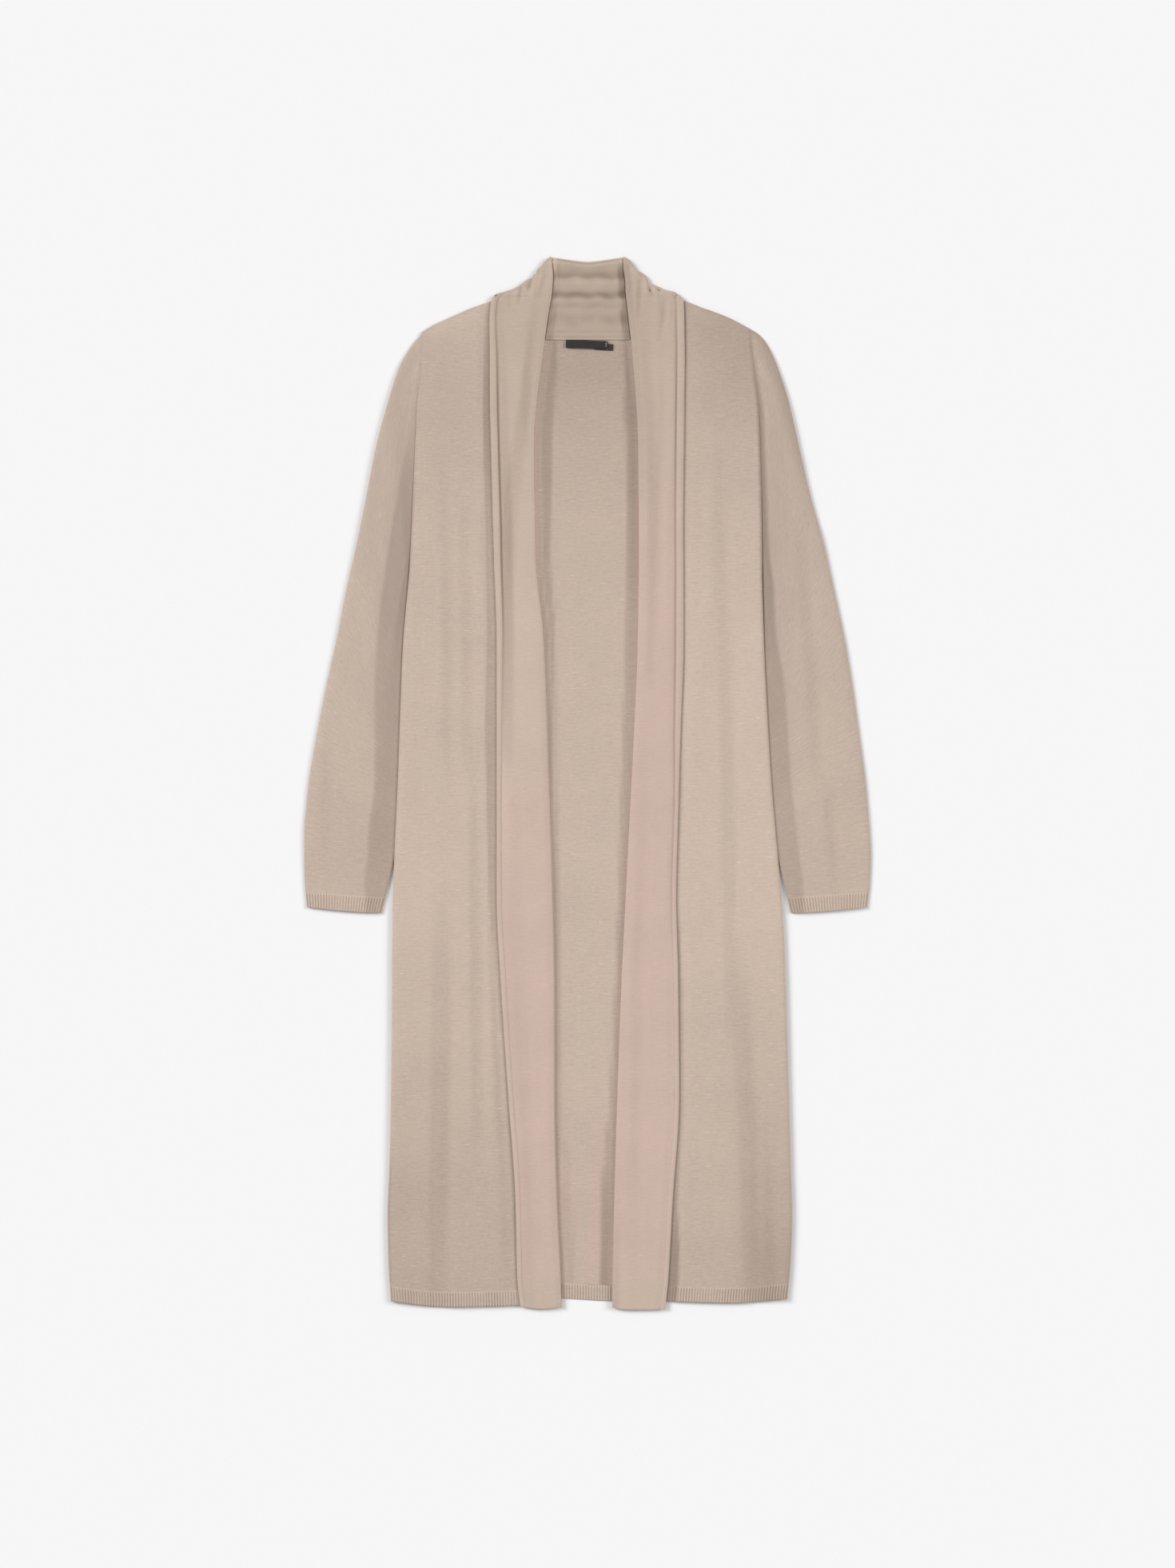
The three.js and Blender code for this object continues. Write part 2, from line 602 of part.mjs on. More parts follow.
// Band at the back neck: the turned-down half lies under the half that shows
function collarSection(x) {
  const top = neckSeam + collarStand - collarTopDip * (1 - (Math.abs(x) / collarHalf) ** 1.3);
  const radius = (knit * 2 + seam) / 2 + 0.5;
  const section = [];
  for (const t of [0, 0.5, 1]) {
    const y = mix(collarFallEnd, top - radius, t);
    section.push({ outer: [y, 0], inner: [y, knit] });
  }
  for (const turn of [0.3, 0.5, 0.7, 1]) {
    const angle = Math.PI * turn;
    const round = (r) => [top - radius + r * Math.sin(angle), radius - r * Math.cos(angle)];
    section.push({ outer: round(radius), inner: round(radius - knit) });
  }
  for (const { y, rise } of collarWaves) {
    if (y > top - radius - 1) continue;
    const z = foldedHeight + rise;
    section.push({ outer: [y, z], inner: [y, z - knit] });
  }
  section.push({ outer: [neckSeam, knit + 0.6], inner: [neckSeam, 0.6] });
  return section;
}

function makeCollar(name, side, from) {
  const steps = shares(6);
  const count = collarSection(0).length;
  const face = (which) =>
    steps.map((t) =>
      Array.from({ length: count }, (_, k) => {
        const sample = collarSection(outward[side] * 30)[k][which];
        const limit = outward[side] * (bandAt(side, "fold", sample[0]) - seam);
        const x = mix(from, limit, t);
        const [y, z] = collarSection(x)[k][which];
        return point(x, y, z);
      }),
    );
  addPiece(name, wallBetween(face("outer"), face("inner")), colours.collar);
}

// Sleeves: flattened tubes of sections that fan from the armhole to the cuff
function sleeveInnerX(side, y) {
  const level = Math.max(y, sleeveLeavesBody);
  const clear = sideGap + sleeveFlare * Math.max(0, sleeveLeavesBody - y);
  return edgeX(side, level) + outward[side] * clear;
}

// Loop of outer and inner points round one section
function sleeveLoop(side, outerY, innerY, stations, loft, bow = 0) {
  const from = point(along(sleeveOutline, "y", side, outerY), outerY, 0);
  const to = point(sleeveInnerX(side, innerY), innerY, 0);
  const wide = from.distanceTo(to);
  const loop = [];
  for (const { inward, upper, rib } of stations) {
    const off = inward * wide;
    const nearEdge = Math.min(off, wide - off);
    const turned = Math.sqrt(1 - (1 - Math.min(nearEdge / foldedEdge, 1)) ** 2);
    const place = (distance) => {
      const t = distance / wide;
      const at = from.clone().lerp(to, t);
      at.y += bow * 4 * t * (1 - t);
      return at;
    };
    const spot = place(off);
    const slope = along(sleeveSlope, "y", side, spot.y);
    const down = ease(wide - off, 0, slope);
    const folds = foldRise(sleeveFolds[side], spot.x, spot.y);
    const lifted = along(sleeveLoft, "fromOuter", "rise", off) + folds;
    const rise = Math.max(0, lifted * loft * down);
    const middle = foldedHeight / 2;
    const outerZ = upper
      ? middle + (foldedHeight + rise - middle) * turned
      : middle - middle * turned;
    const insideOff = THREE.MathUtils.clamp(off, knit + 0.5 * turned, wide - knit - 0.5 * turned);
    const air = turned < 0.2 ? 0 : Math.min(rise * hollowShare, hollowLimit);
    const closing = turned < 0.2 ? seam / 2 : 0;
    const innerZ = upper ? frontRest + air - closing : knit + closing;
    const outer = spot.clone().setZ(outerZ + (upper ? rib : 0));
    const inner = place(insideOff).setZ(innerZ);
    loop.push({ outer, inner });
  }
  return loop;
}

// Stations round a flattened tube: over the top from the outer fold, back underneath
function loopStations(topCount, underCount, ribbed, wide) {
  const nearFold = [0, 0.8 / wide, foldedEdge / wide];
  const between = (count) =>
    shares(count).slice(1, -1).map((t) => mix(foldedEdge / wide, 1 - foldedEdge / wide, t));
  const across = [
    ...nearFold,
    ...between(topCount),
    ...nearFold.map((s) => 1 - s).reverse(),
  ];
  const over = across.map((inward, k) => ({
    inward,
    upper: true,
    rib: ribbed && k > 2 && k < across.length - 2 && k % 2 ? ribRise : 0,
  }));
  const under = [
    ...nearFold.slice(1),
    ...between(underCount),
    ...nearFold.slice(1).map((s) => 1 - s).reverse(),
  ].reverse();
  return [...over, ...under.map((inward) => ({ inward, upper: false, rib: 0 }))];
}

function makeSleeve(side) {
  const loops = sleeveSections.map(({ outer, inner }, k) => {
    const from = point(along(sleeveOutline, "y", side, outer), outer, 0);
    const wide = from.distanceTo(point(sleeveInnerX(side, inner), inner, 0));
    const loft = ease(k, 0, 3);
    const loop = sleeveLoop(side, outer, inner, loopStations(10, 7, false, wide), loft);
    if (k > 0) return loop;
    return loop.map((pair) => ({
      outer: toArmhole(side, pair.outer),
      inner: toArmhole(side, pair.inner),
    }));
  });
  const face = (which) => loops.map((loop) => loop.map((pair) => pair[which]));
  addPiece("sleeve_" + side, wallBetween(face("outer"), face("inner"), true), colours.knit);
}

// The first section lies along the armhole seam
const toArmhole = (side, at) => at.clone().setX(edgeX(side, at.y) + outward[side] * sideGap);

function makeCuff(side) {
  const last = sleeveSections[sleeveSections.length - 1];
  const levels = [0, 1].map((t) => ({
    outer: mix(last.outer - seam, cuffBottom.outer, t),
    inner: mix(last.inner - seam, cuffBottom.inner, t),
    bow: mix(0, cuffBottom.middle - (cuffBottom.outer + cuffBottom.inner) / 2, t),
  }));
  const stations = loopStations(2 * Math.round(cuffWidth / ribPitch), 3, true, cuffWidth);
  const loft = cuffLoft / sleeveLoft[sleeveLoft.length - 1].rise;
  const loops = levels.map(({ outer, inner, bow }) =>
    sleeveLoop(side, outer, inner, stations, loft, bow),
  );
  const face = (which) => loops.map((loop) => loop.map((pair) => pair[which]));
  addPiece("cuff_" + side, wallBetween(face("outer"), face("inner"), true), colours.knit);
}

// Bare woven label at the back neck and the small tab behind it
function makeLabel(name, size, base, colour) {
  const geometry = new THREE.BoxGeometry(size.width, size.height, size.thick, 6, 1, 1);
  const mesh = addPiece(name, geometry, colour, 0.8);
  mesh.position.set(size.x, size.y, base + size.thick / 2);
  mesh.rotation.z = size.tilt;
}

makeBack();
makeBackHem();
for (const side of ["left", "right"]) {
  makeFront(side);
  makeFrontHem(side);
  makeLapel(side);
  makeTrim(side);
  makeSleeve(side);
  makeCuff(side);
}
makeCollar("collar_left", "left", centreSeam - seam / 2);
makeCollar("collar_right", "right", centreSeam + seam / 2);
makeLabel("size_tab", sizeTab, knit + seam, colours.sizeTab);
makeLabel("neck_label", label, knit + seam + sizeTab.thick + seam, colours.label);

export default group;
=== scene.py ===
import math

import bpy
import numpy as np
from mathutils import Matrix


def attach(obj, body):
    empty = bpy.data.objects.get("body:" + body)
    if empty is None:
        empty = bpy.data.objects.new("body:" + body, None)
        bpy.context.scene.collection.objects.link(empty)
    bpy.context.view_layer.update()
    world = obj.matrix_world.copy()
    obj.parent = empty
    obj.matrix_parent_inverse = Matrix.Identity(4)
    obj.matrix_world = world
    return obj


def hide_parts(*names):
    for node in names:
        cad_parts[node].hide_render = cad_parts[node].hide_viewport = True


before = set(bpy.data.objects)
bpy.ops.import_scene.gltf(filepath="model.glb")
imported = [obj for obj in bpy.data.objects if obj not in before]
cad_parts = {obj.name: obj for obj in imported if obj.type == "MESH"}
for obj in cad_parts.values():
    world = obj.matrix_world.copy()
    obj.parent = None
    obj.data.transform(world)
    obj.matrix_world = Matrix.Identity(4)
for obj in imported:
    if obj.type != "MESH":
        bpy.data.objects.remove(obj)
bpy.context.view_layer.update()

# A long open cardigan of fine knit, laid flat with its front up. X runs across it, Y from hem to
# collar. Sizes here are millimetres, and each mesh is turned into metres when it is made.
metre = 0.001
outward = {"left": -1, "right": 1}

cloth = {
    "knit": 1.4,  # wall of the knitted pieces
    "seam": 0.3,  # gap at a seam and between layers
    "sideGap": 0.5,  # gap under the lapels, between the fronts and the band
    "sewnGap": 0.05,  # gap where cloth is sewn edge to edge
    "airShare": 0.75,  # share of a fold's rise that is air under the wall
    "airMost": 3.5,
    "rim": 0.9,  # how far in from a cut edge the cloth rounds off
    "rimLeast": 0.12,  # share of the thickness that is left at the edge itself
    "leastWall": 0.12,  # thinnest that a front gets where folds press it down
}
knit, seam = cloth["knit"], cloth["seam"]
frontRest = knit + seam  # underside of the fronts
foldedHeight = frontRest + knit  # two walls pressed together
lapelRest = foldedHeight + seam  # underside of what lies on the fronts

ribs = {
    "pitch": 3.13,
    "rise": 0.6,
    "band": 17.5,
    "samples": 6,
    "rowStep": 1.3,
    "roundness": 0.8,
    "growFrom": (0.8, 2.4),  # distances from the seam over which the ribs grow
    "weltAt": 1.0,
    "weltSpread": 0.6,
    "weltRise": 0.05,
    # painted shade in the grooves and painted light on the ridges
    "grooveShade": 0.75,
    "ridgeLight": 0.22,
    "clear": 0.8,  # how clearly the ribs' painted shade and light show, how much that varies, and over what width and length
    "clearVaries": 0.35,
    "clearUneven": (34, 400, 11),
}


# A table with named columns
def table(columns, *rows):
    return {name: np.array([row[k] for row in rows], float) for k, name in enumerate(columns.split())}


# Value of a column at a place, on a smooth curve through the rows that never overshoots them
def along(rows, key, column, place):
    keys, values = rows[key], rows[column]
    if keys[0] > keys[-1]:
        keys, values = keys[::-1], values[::-1]
    slopes = np.diff(values) / np.diff(keys)
    product, total = slopes[:-1] * slopes[1:], slopes[:-1] + slopes[1:]
    inner = np.where(product > 0, 2 * product / np.where(product > 0, total, 1), 0)
    tangents = np.concatenate([slopes[:1], inner, slopes[-1:]])
    place = np.clip(np.asarray(place, float), keys[0], keys[-1])
    i = np.clip(np.searchsorted(keys, place, side="right") - 1, 0, len(keys) - 2)
    step = keys[i + 1] - keys[i]
    t = (place - keys[i]) / step
    u = 1 - t
    ends = values[i] * u * u * (1 + 2 * t) + values[i + 1] * t * t * (3 - 2 * t)
    return ends + step * t * u * (u * tangents[i] - t * tangents[i + 1])


# The same by height, from a table with columns for each side
def bySide(rows, side, y, what=""):
    return along(rows, "y", side + what, y)


def mix(a, b, t):
    return a + (b - a) * t


# Goes smoothly from 0 at one place to 1 at the other, in either direction
def ease(x, low, high):
    t = np.clip((x - low) / (high - low), 0, 1)
    return t * t * (3 - 2 * t)


def bell(x, middle, spread):
    return np.exp(-(((x - middle) / spread) ** 2))


# Soft unevenness between -1 and 1, with waves of about that width and length
def unevenness(x, y, width, length, seed):
    total = 0
    for k in range(5):
        turn = seed * 1.7 + k * 2.4
        size = 2 * math.pi / (0.7 + 0.18 * k)
        reach = x / width * math.cos(turn) + y / length * math.sin(turn)
        total = total + np.sin(size * reach + seed * 3.1 + k * 1.9)
    return total / 5


# Coarse and fine unevenness together, each given by its width, length and seed
def rumpled(x, y, coarse, fine, fineShare=0.5):
    return unevenness(x, y, *coarse) + fineShare * unevenness(x, y, *fine)


# Height that long folds add: centre at the top, middle and lower end, half width, rise (below 0: a valley)
foldColumns = "yTop yEnd top middle end halfWidth rise"


def foldRise(folds, x, y):
    rise = np.zeros(np.broadcast(x, y).shape)
    for yTop, yEnd, top, middle, end, halfWidth, high in zip(*(folds[c] for c in foldColumns.split())):
        t = np.clip((yTop - y) / (yTop - yEnd), 0, 1)
        centre = top * (1 - t) * (1 - 2 * t) + middle * 4 * t * (1 - t) + end * t * (2 * t - 1)
        off = np.clip(np.abs(x - centre) / halfWidth, 0, 1)
        rise = rise + high * np.sin(math.pi * t) ** 0.6 * (1 + np.cos(math.pi * off)) / 2
    return rise


# Height that short creases add: each runs from its start through its middle to its end
creaseColumns = "startX startY middleX middleY endX endY halfWidth rise"


def creaseRise(creases, x, y):
    x, y = np.broadcast_arrays(x, y)
    rise = np.zeros(x.shape)
    steps = np.linspace(0, 1, 31)
    for startX, startY, middleX, middleY, endX, endY, wide, high in zip(
        *(creases[c] for c in creaseColumns.split())
    ):
        shares = (1 - steps) * (1 - 2 * steps), 4 * steps * (1 - steps), steps * (2 * steps - 1)
        lineX = startX * shares[0] + middleX * shares[1] + endX * shares[2]
        lineY = startY * shares[0] + middleY * shares[1] + endY * shares[2]
        near = (x > lineX.min() - 3 * wide) & (x < lineX.max() + 3 * wide)
        near &= (y > lineY.min() - 3 * wide) & (y < lineY.max() + 3 * wide)
        if not near.any():
            continue
        away = (x[near][:, None] - lineX) ** 2 + (y[near][:, None] - lineY) ** 2
        nearest = away.argmin(1)
        swell = np.sin(math.pi * np.clip(steps[nearest], 0.04, 0.96)) ** 0.7
        rise[near] += high * swell * np.exp(-away.min(1) / (0.6 * wide) ** 2)
    return rise


# Shares of the way across a panel of about that length: close together at its rims, then evenly spread
def stations(length, step, rims=(True, True)):
    rim = np.array([0, 0.08, 0.25, 0.5, 0.9, 1.5])
    start, end = (rim if r else rim[:1] for r in rims)
    count = max(2, round((length - start[-1] - end[-1]) / step))
    middle = np.linspace(start[-1], length - end[-1], count + 1)
    return np.concatenate([start[:-1], middle, length - end[-2::-1]]) / length


# How full the cloth's thickness is at a distance from its edge
def rimFull(distance, reach=cloth["rim"]):
    return np.maximum(np.sqrt(1 - (1 - np.clip(distance / reach, 0, 1)) ** 2), cloth["rimLeast"])


def roundRim(outer, inner, distance):
    full = rimFull(distance)
    middle = (outer + inner) / 2
    return middle + (outer - middle) * full, middle + (inner - middle) * full


# Length along the cloth across its columns, from the first one
def lengthAcross(points):
    steps = np.linalg.norm(np.diff(points, axis=1), axis=2)
    return np.concatenate([steps[:, :1] * 0, np.cumsum(steps, 1)], 1)


# A closed wall between an outer and an inner grid of points. A ringed wall closes on itself across its
# columns. The cloth's own lengths u and v carry the stitches, and the tones (painted shade and light, and
# the share of a second colour) are kept for the finish.
def clothPiece(name, outer, inner, u, v, material, ringed=False, tones=None):
    rows, columns = outer.shape[:2]
    points = np.concatenate([outer.reshape(-1, 3), inner.reshape(-1, 3)]) * metre
    if ringed:
        u = np.concatenate([u, u[:, :1] * 0 + u[:, -1:] + (u[:, -1:] - u[:, -2:-1])], 1)
        v = np.concatenate([v, v[:, :1]], 1)
    wide = columns + 1 if ringed else columns

    def corner(face, i, j):
        return face * rows * columns + i * columns + j % columns, i * wide + j

    i, j = np.meshgrid(np.arange(rows - 1), np.arange(wide - 1), indexing="ij")
    quads = [
        [corner(0, i, j), corner(0, i, j + 1), corner(0, i + 1, j + 1), corner(0, i + 1, j)],
        [corner(1, i, j), corner(1, i + 1, j), corner(1, i + 1, j + 1), corner(1, i, j + 1)],
    ]
    j = np.arange(wide - 1)
    first, last = j * 0, j * 0 + rows - 1
    quads += [
        [corner(0, first, j), corner(1, first, j), corner(1, first, j + 1), corner(0, first, j + 1)],
        [corner(0, last, j), corner(0, last, j + 1), corner(1, last, j + 1), corner(1, last, j)],
    ]
    if not ringed:
        i = np.arange(rows - 1)
        near, far = i * 0, i * 0 + columns - 1
        quads += [
            [corner(0, i, near), corner(0, i + 1, near), corner(1, i + 1, near), corner(1, i, near)],
            [corner(0, i, far), corner(1, i, far), corner(1, i + 1, far), corner(0, i + 1, far)],
        ]
    vertices = np.concatenate([np.stack([c[0].ravel() for c in q], 1) for q in quads])
    places = np.concatenate([np.stack([c[1].ravel() for c in q], 1) for q in quads])
    a, b, c, d = (points[vertices[:, k]] for k in range(4))
    if (a * np.cross(b, c)).sum() + (a * np.cross(c, d)).sum() < 0:
        vertices, places = vertices[:, ::-1], places[:, ::-1]
    mesh = bpy.data.meshes.new(name)
    mesh.vertices.add(len(points))
    mesh.vertices.foreach_set("co", points.astype(np.float32).ravel())
    mesh.loops.add(vertices.size)
    mesh.loops.foreach_set("vertex_index", vertices.astype(np.int32).ravel())
    mesh.polygons.add(len(vertices))
    mesh.polygons.foreach_set("loop_start", np.arange(0, vertices.size, 4, dtype=np.int32))
    mesh.polygons.foreach_set("loop_total", np.full(len(vertices), 4, np.int32))
    mesh.update(calc_edges=True)
    mesh.validate()
    lengths = np.stack([u.ravel()[places.ravel()], v.ravel()[places.ravel()]], 1) * metre
    mesh.uv_layers.new(name="clothLengths").data.foreach_set("uv", lengths.astype(np.float32).ravel())
    for tone in ("shade", "blush"):
        values = (tones or {}).get(tone, 0) + np.zeros((rows, columns))
        values = np.concatenate([values.ravel(), values.ravel()])
        mesh.attributes.new(tone, "FLOAT", "POINT").data.foreach_set("value", values.astype(np.float32))
    mesh.shade_smooth()
    mesh.materials.append(material)
    piece = bpy.data.objects.new(name, mesh)
    bpy.context.scene.collection.objects.link(piece)
    return piece


# A wall over the places x and y, between an upper and a lower height
def layer(name, x, y, upper, lower, material, **tones):
    faces = [np.stack([x, y, z], -1) for z in (upper, lower)]
    return clothPiece(name, *faces, x, y, material, tones=tones)


# What every piece of cloth tells the frame
def sewnIn(piece, node):
    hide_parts(node)
    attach(piece, "root")
    return piece


# Finishes

floorLook = {"albedo": 0.8, "seen": 0.93}  # the floor's own colour, and its brightness in the picture

yarn = {
    "wale": 1.56,  # width of a stitch column
    "course": 1.15,  # height of a stitch row
    "slant": 1.5,  # how steeply the legs of a stitch slant
    "loopRise": 0.6,  # how much the loop and the legs of a stitch rise
    "legRise": 2.4,
    "evenRise": 0.6,  # rise at which a stitch keeps the yarn's own tone
    "pitShade": 0.05,  # painted shade: how much darker the pits between stitches are
    "stitchDepth": 0.35,
    "stitchBump": 0.55,
    "fuzzDepth": 0.12,
    "fuzzBump": 0.4,
    "fleck": 0.055,  # how much lighter and darker the melange flecks are
    "cloud": 0.03,  # and the broad uneven patches
    "slub": 2.2,  # how light the slubs are
    "slubFrom": 0.67,  # the higher, the fewer slubs
    "roughness": 0.92,
    "sheen": 0.12,
    # Grains to a metre across and down, detail, and an offset that keeps one noise off the others
    "grain": {
        "mottle": (240, 380, 3.0, 0.0),
        "dashes": (70, 700, 1.0, 3.0),
        "clouds": (9, 16, 2.0, 7.0),
        "slubs": (85, 640, 1.0, 11.0),
        "fuzz": (2600, 2600, 2.0, 1.0),
    },
    "paintedShadeTone": (0.5, 0.47, 0.45, 1),  # what a full painted shade multiplies the colour by
}


# Albedo of cloth that should be seen in an sRGB colour under the studio light
def dyed(red, green, blue):
    share = floorLook["albedo"] / floorLook["seen"]
    linear = [((c / 255 + 0.055) / 1.055) ** 2.4 * share for c in (red, green, blue)]
    return (*linear, 1)


class Nodes:
    def __init__(self, name):
        self.material = bpy.data.materials.new(name)
        self.material.use_nodes = True
        self.tree = self.material.node_tree
        self.shader = self.tree.nodes["Principled BSDF"]

    def add(self, kind, sockets=None, **settings):
        node = self.tree.nodes.new(kind)
        for key, value in settings.items():
            setattr(node, key, value)
        for key, value in (sockets or {}).items():
            self.put(value, node.inputs[key])
        return node

    def put(self, value, socket):
        if isinstance(value, bpy.types.NodeSocket):
            self.tree.links.new(value, socket)
        else:
            socket.default_value = value

    def math(self, operation, a, b=0.0):
        return self.add("ShaderNodeMath", {0: a, 1: b}, operation=operation).outputs[0]

    def mixColour(self, share, a, b):
        node = self.add("ShaderNodeMix", data_type="RGBA")
        self.put(share, node.inputs[0])
        self.put(a, node.inputs[6])
        self.put(b, node.inputs[7])
        return node.outputs[2]


# Fine jersey: columns of V stitches, melange yarn with flecks along the rows, a little fuzz
def knitFinish(name, colour, blushColour, stitch=1.0, flecks=1.0):
    n = Nodes(name)
    place = n.add("ShaderNodeUVMap", uv_map="clothLengths").outputs[0]
    parts = n.add("ShaderNodeSeparateXYZ", {0: place})
    across = n.math("DIVIDE", parts.outputs[0], yarn["wale"] * metre)
    down = n.math("DIVIDE", parts.outputs[1], yarn["course"] * metre)
    share = n.math("FRACT", across)
    fromMiddle = n.math("ABSOLUTE", n.math("SUBTRACT", share, 0.5))
    leg = n.math("PINGPONG", across, 0.25)
    slanted = n.math("ADD", down, n.math("MULTIPLY", fromMiddle, yarn["slant"]))
    turn = n.math("COSINE", n.math("MULTIPLY", slanted, 2 * math.pi))
    loop = n.math("MULTIPLY", n.math("ADD", n.math("MULTIPLY", turn, 0.5), 0.5), yarn["loopRise"])
    stitches = n.math("ADD", loop, n.math("MULTIPLY", leg, yarn["legRise"]))

    def noise(grain):
        scaleAcross, scaleDown, detail, offset = yarn["grain"][grain]
        size = n.add("ShaderNodeMapping", {"Vector": place, "Scale": (scaleAcross, scaleDown, 1)})
        size.inputs["Location"].default_value = (offset, offset * 0.7, offset)
        sockets = {"Vector": size.outputs[0], "Scale": 1.0, "Detail": detail}
        return n.add("ShaderNodeTexNoise", sockets).outputs[0]

    mottle = n.math("SUBTRACT", noise("mottle"), 0.5)
    dashes = n.math("SUBTRACT", noise("dashes"), 0.5)
    clouds = n.math("SUBTRACT", noise("clouds"), 0.5)
    melange = n.math("MULTIPLY", n.math("ADD", mottle, dashes), yarn["fleck"] * 4 * flecks)
    # a few slubs: short light stretches of thicker yarn along the rows
    slubs = n.math("MAXIMUM", n.math("SUBTRACT", noise("slubs"), yarn["slubFrom"]), 0.0)
    melange = n.math("ADD", melange, n.math("MULTIPLY", slubs, yarn["slub"] * flecks))
    tone = n.math("ADD", melange, n.math("MULTIPLY", clouds, yarn["cloud"] * 4))
    # painted shade in the pits between stitches
    paintedPitShade = n.math("MULTIPLY", n.math("SUBTRACT", stitches, yarn["evenRise"]), yarn["pitShade"] * stitch)
    bright = n.math("ADD", n.math("ADD", tone, paintedPitShade), 1.0)
    # above 0 the painted shade deepens the tone, below 0 painted light lightens it
    shade = n.add("ShaderNodeAttribute", attribute_name="shade").outputs["Fac"]
    bright = n.math("ADD", bright, n.math("MAXIMUM", n.math("MULTIPLY", shade, -0.5), 0.0))
    blush = n.add("ShaderNodeAttribute", attribute_name="blush").outputs["Fac"]
    dye = n.mixColour(blush, colour, blushColour)
    lit = n.add("ShaderNodeMix", data_type="RGBA", blend_type="MULTIPLY")
    lit.inputs[0].default_value = 1.0
    grey = n.add("ShaderNodeCombineColor", {0: bright, 1: bright, 2: bright}).outputs[0]
    n.put(dye, lit.inputs[6])
    n.put(grey, lit.inputs[7])
    deep = n.add("ShaderNodeMix", data_type="RGBA", blend_type="MULTIPLY")
    n.put(shade, deep.inputs[0])
    n.put(lit.outputs[2], deep.inputs[6])
    deep.inputs[7].default_value = yarn["paintedShadeTone"]
    n.put(deep.outputs[2], n.shader.inputs["Base Color"])
    rough = n.math("ADD", n.math("MULTIPLY", mottle, 0.1), yarn["roughness"])
    n.put(rough, n.shader.inputs["Roughness"])
    first = n.add("ShaderNodeBump", {"Height": stitches, "Strength": yarn["stitchBump"] * stitch})
    first.inputs["Distance"].default_value = yarn["stitchDepth"] * metre
    sockets = {"Height": noise("fuzz"), "Strength": yarn["fuzzBump"], "Normal": first.outputs[0]}
    second = n.add("ShaderNodeBump", sockets)
    second.inputs["Distance"].default_value = yarn["fuzzDepth"] * metre
    n.put(second.outputs[0], n.shader.inputs["Normal"])
    n.shader.inputs["Sheen Weight"].default_value = yarn["sheen"]
    n.shader.inputs["Sheen Roughness"].default_value = 0.5
    n.shader.inputs["Specular IOR Level"].default_value = 0.2
    return n.material


tape = {
    "thickness": 0.28,
    "twill": 0.32,  # pitch of the slanted ridges
    "thread": 0.21,
    "depth": 0.05,
    "patches": 300,  # soft patches to a metre
    "columnStep": 0.9,
    "rows": 14,
    "foldRows": 11,
    "swell": 0.15,  # how far the upper layer rises in its middle
}


# Woven tape of the label and the size tab: a fine twill with a satin gloss
def tapeFinish(name, colour, gloss):
    n = Nodes(name)
    place = n.add("ShaderNodeUVMap", uv_map="clothLengths").outputs[0]
    parts = n.add("ShaderNodeSeparateXYZ", {0: place})
    slant = n.math("ADD", parts.outputs[0], parts.outputs[1])
    twill = n.math("SINE", n.math("MULTIPLY", slant, 2 * math.pi / (tape["twill"] * metre)))
    threads = n.math("SINE", n.math("MULTIPLY", parts.outputs[0], 2 * math.pi / (tape["thread"] * metre)))
    weave = n.math("ADD", twill, n.math("MULTIPLY", threads, 0.5))
    size = n.add("ShaderNodeMapping", {"Vector": place, "Scale": (tape["patches"], tape["patches"], 1)})
    patches = n.add("ShaderNodeTexNoise", {"Vector": size.outputs[0], "Scale": 1.0, "Detail": 2.0})
    bright = n.math("ADD", n.math("MULTIPLY", weave, 0.06), n.math("ADD", patches.outputs[0], 0.5))
    grey = n.add("ShaderNodeCombineColor", {0: bright, 1: bright, 2: bright}).outputs[0]
    lit = n.add("ShaderNodeMix", data_type="RGBA", blend_type="MULTIPLY")
    lit.inputs[0].default_value = 1.0
    thread = n.add("ShaderNodeAttribute", attribute_name="blush").outputs["Fac"]
    n.put(n.mixColour(thread, colour, threadColour), lit.inputs[6])
    n.put(grey, lit.inputs[7])
    n.put(lit.outputs[2], n.shader.inputs["Base Color"])
    n.put(n.math("ADD", n.math("MULTIPLY", patches.outputs[0], 0.2), gloss), n.shader.inputs["Roughness"])
    bump = n.add("ShaderNodeBump", {"Height": weave, "Strength": 0.5})
    bump.inputs["Distance"].default_value = tape["depth"] * metre
    n.put(bump.outputs[0], n.shader.inputs["Normal"])
    return n.material


greige = dyed(204, 185, 170)
blushed = dyed(206, 183, 170)
bodyKnit = knitFinish("bodyKnit", greige, blushed)
bandKnit = knitFinish("bandKnit", dyed(205, 186, 170), blushed, stitch=0.7, flecks=0.5)
collarKnit = knitFinish("collarKnit", dyed(194, 176, 160), blushed, stitch=0.3, flecks=0.3)
ribKnit = knitFinish("ribKnit", greige, blushed, stitch=0.5, flecks=0.7)
threadColour = dyed(178, 166, 154)
labelTape = tapeFinish("labelTape", dyed(40, 37, 34), 0.7)
sizeTape = tapeFinish("sizeTape", dyed(62, 48, 41), 0.75)

# Body: side edge from the shoulder down the armhole and the side fold
bodySide = table(
    "y left right",
    (511, -187, 183),
    (480, -187, 186),
    (413, -193, 194),
    (340, -196, 196),
    (250, -200, 197),
    (150, -208, 199),
    (85, -210.5, 202),
    (0, -213.5, 207),
    (-75, -217, 213.5),
    (-125, -219, 218),
    (-190, -220, 222),
    (-325, -221, 226),
    (-433, -223, 229),
    (-487, -225, 230.5),
    (-541, -224, 228.5),
    (-579, -221.5, 225),
)


def edgeX(side, y):
    return bySide(bodySide, side, y)


def ribTop(hemBottom):
    return hemBottom + ribs["band"] + seam


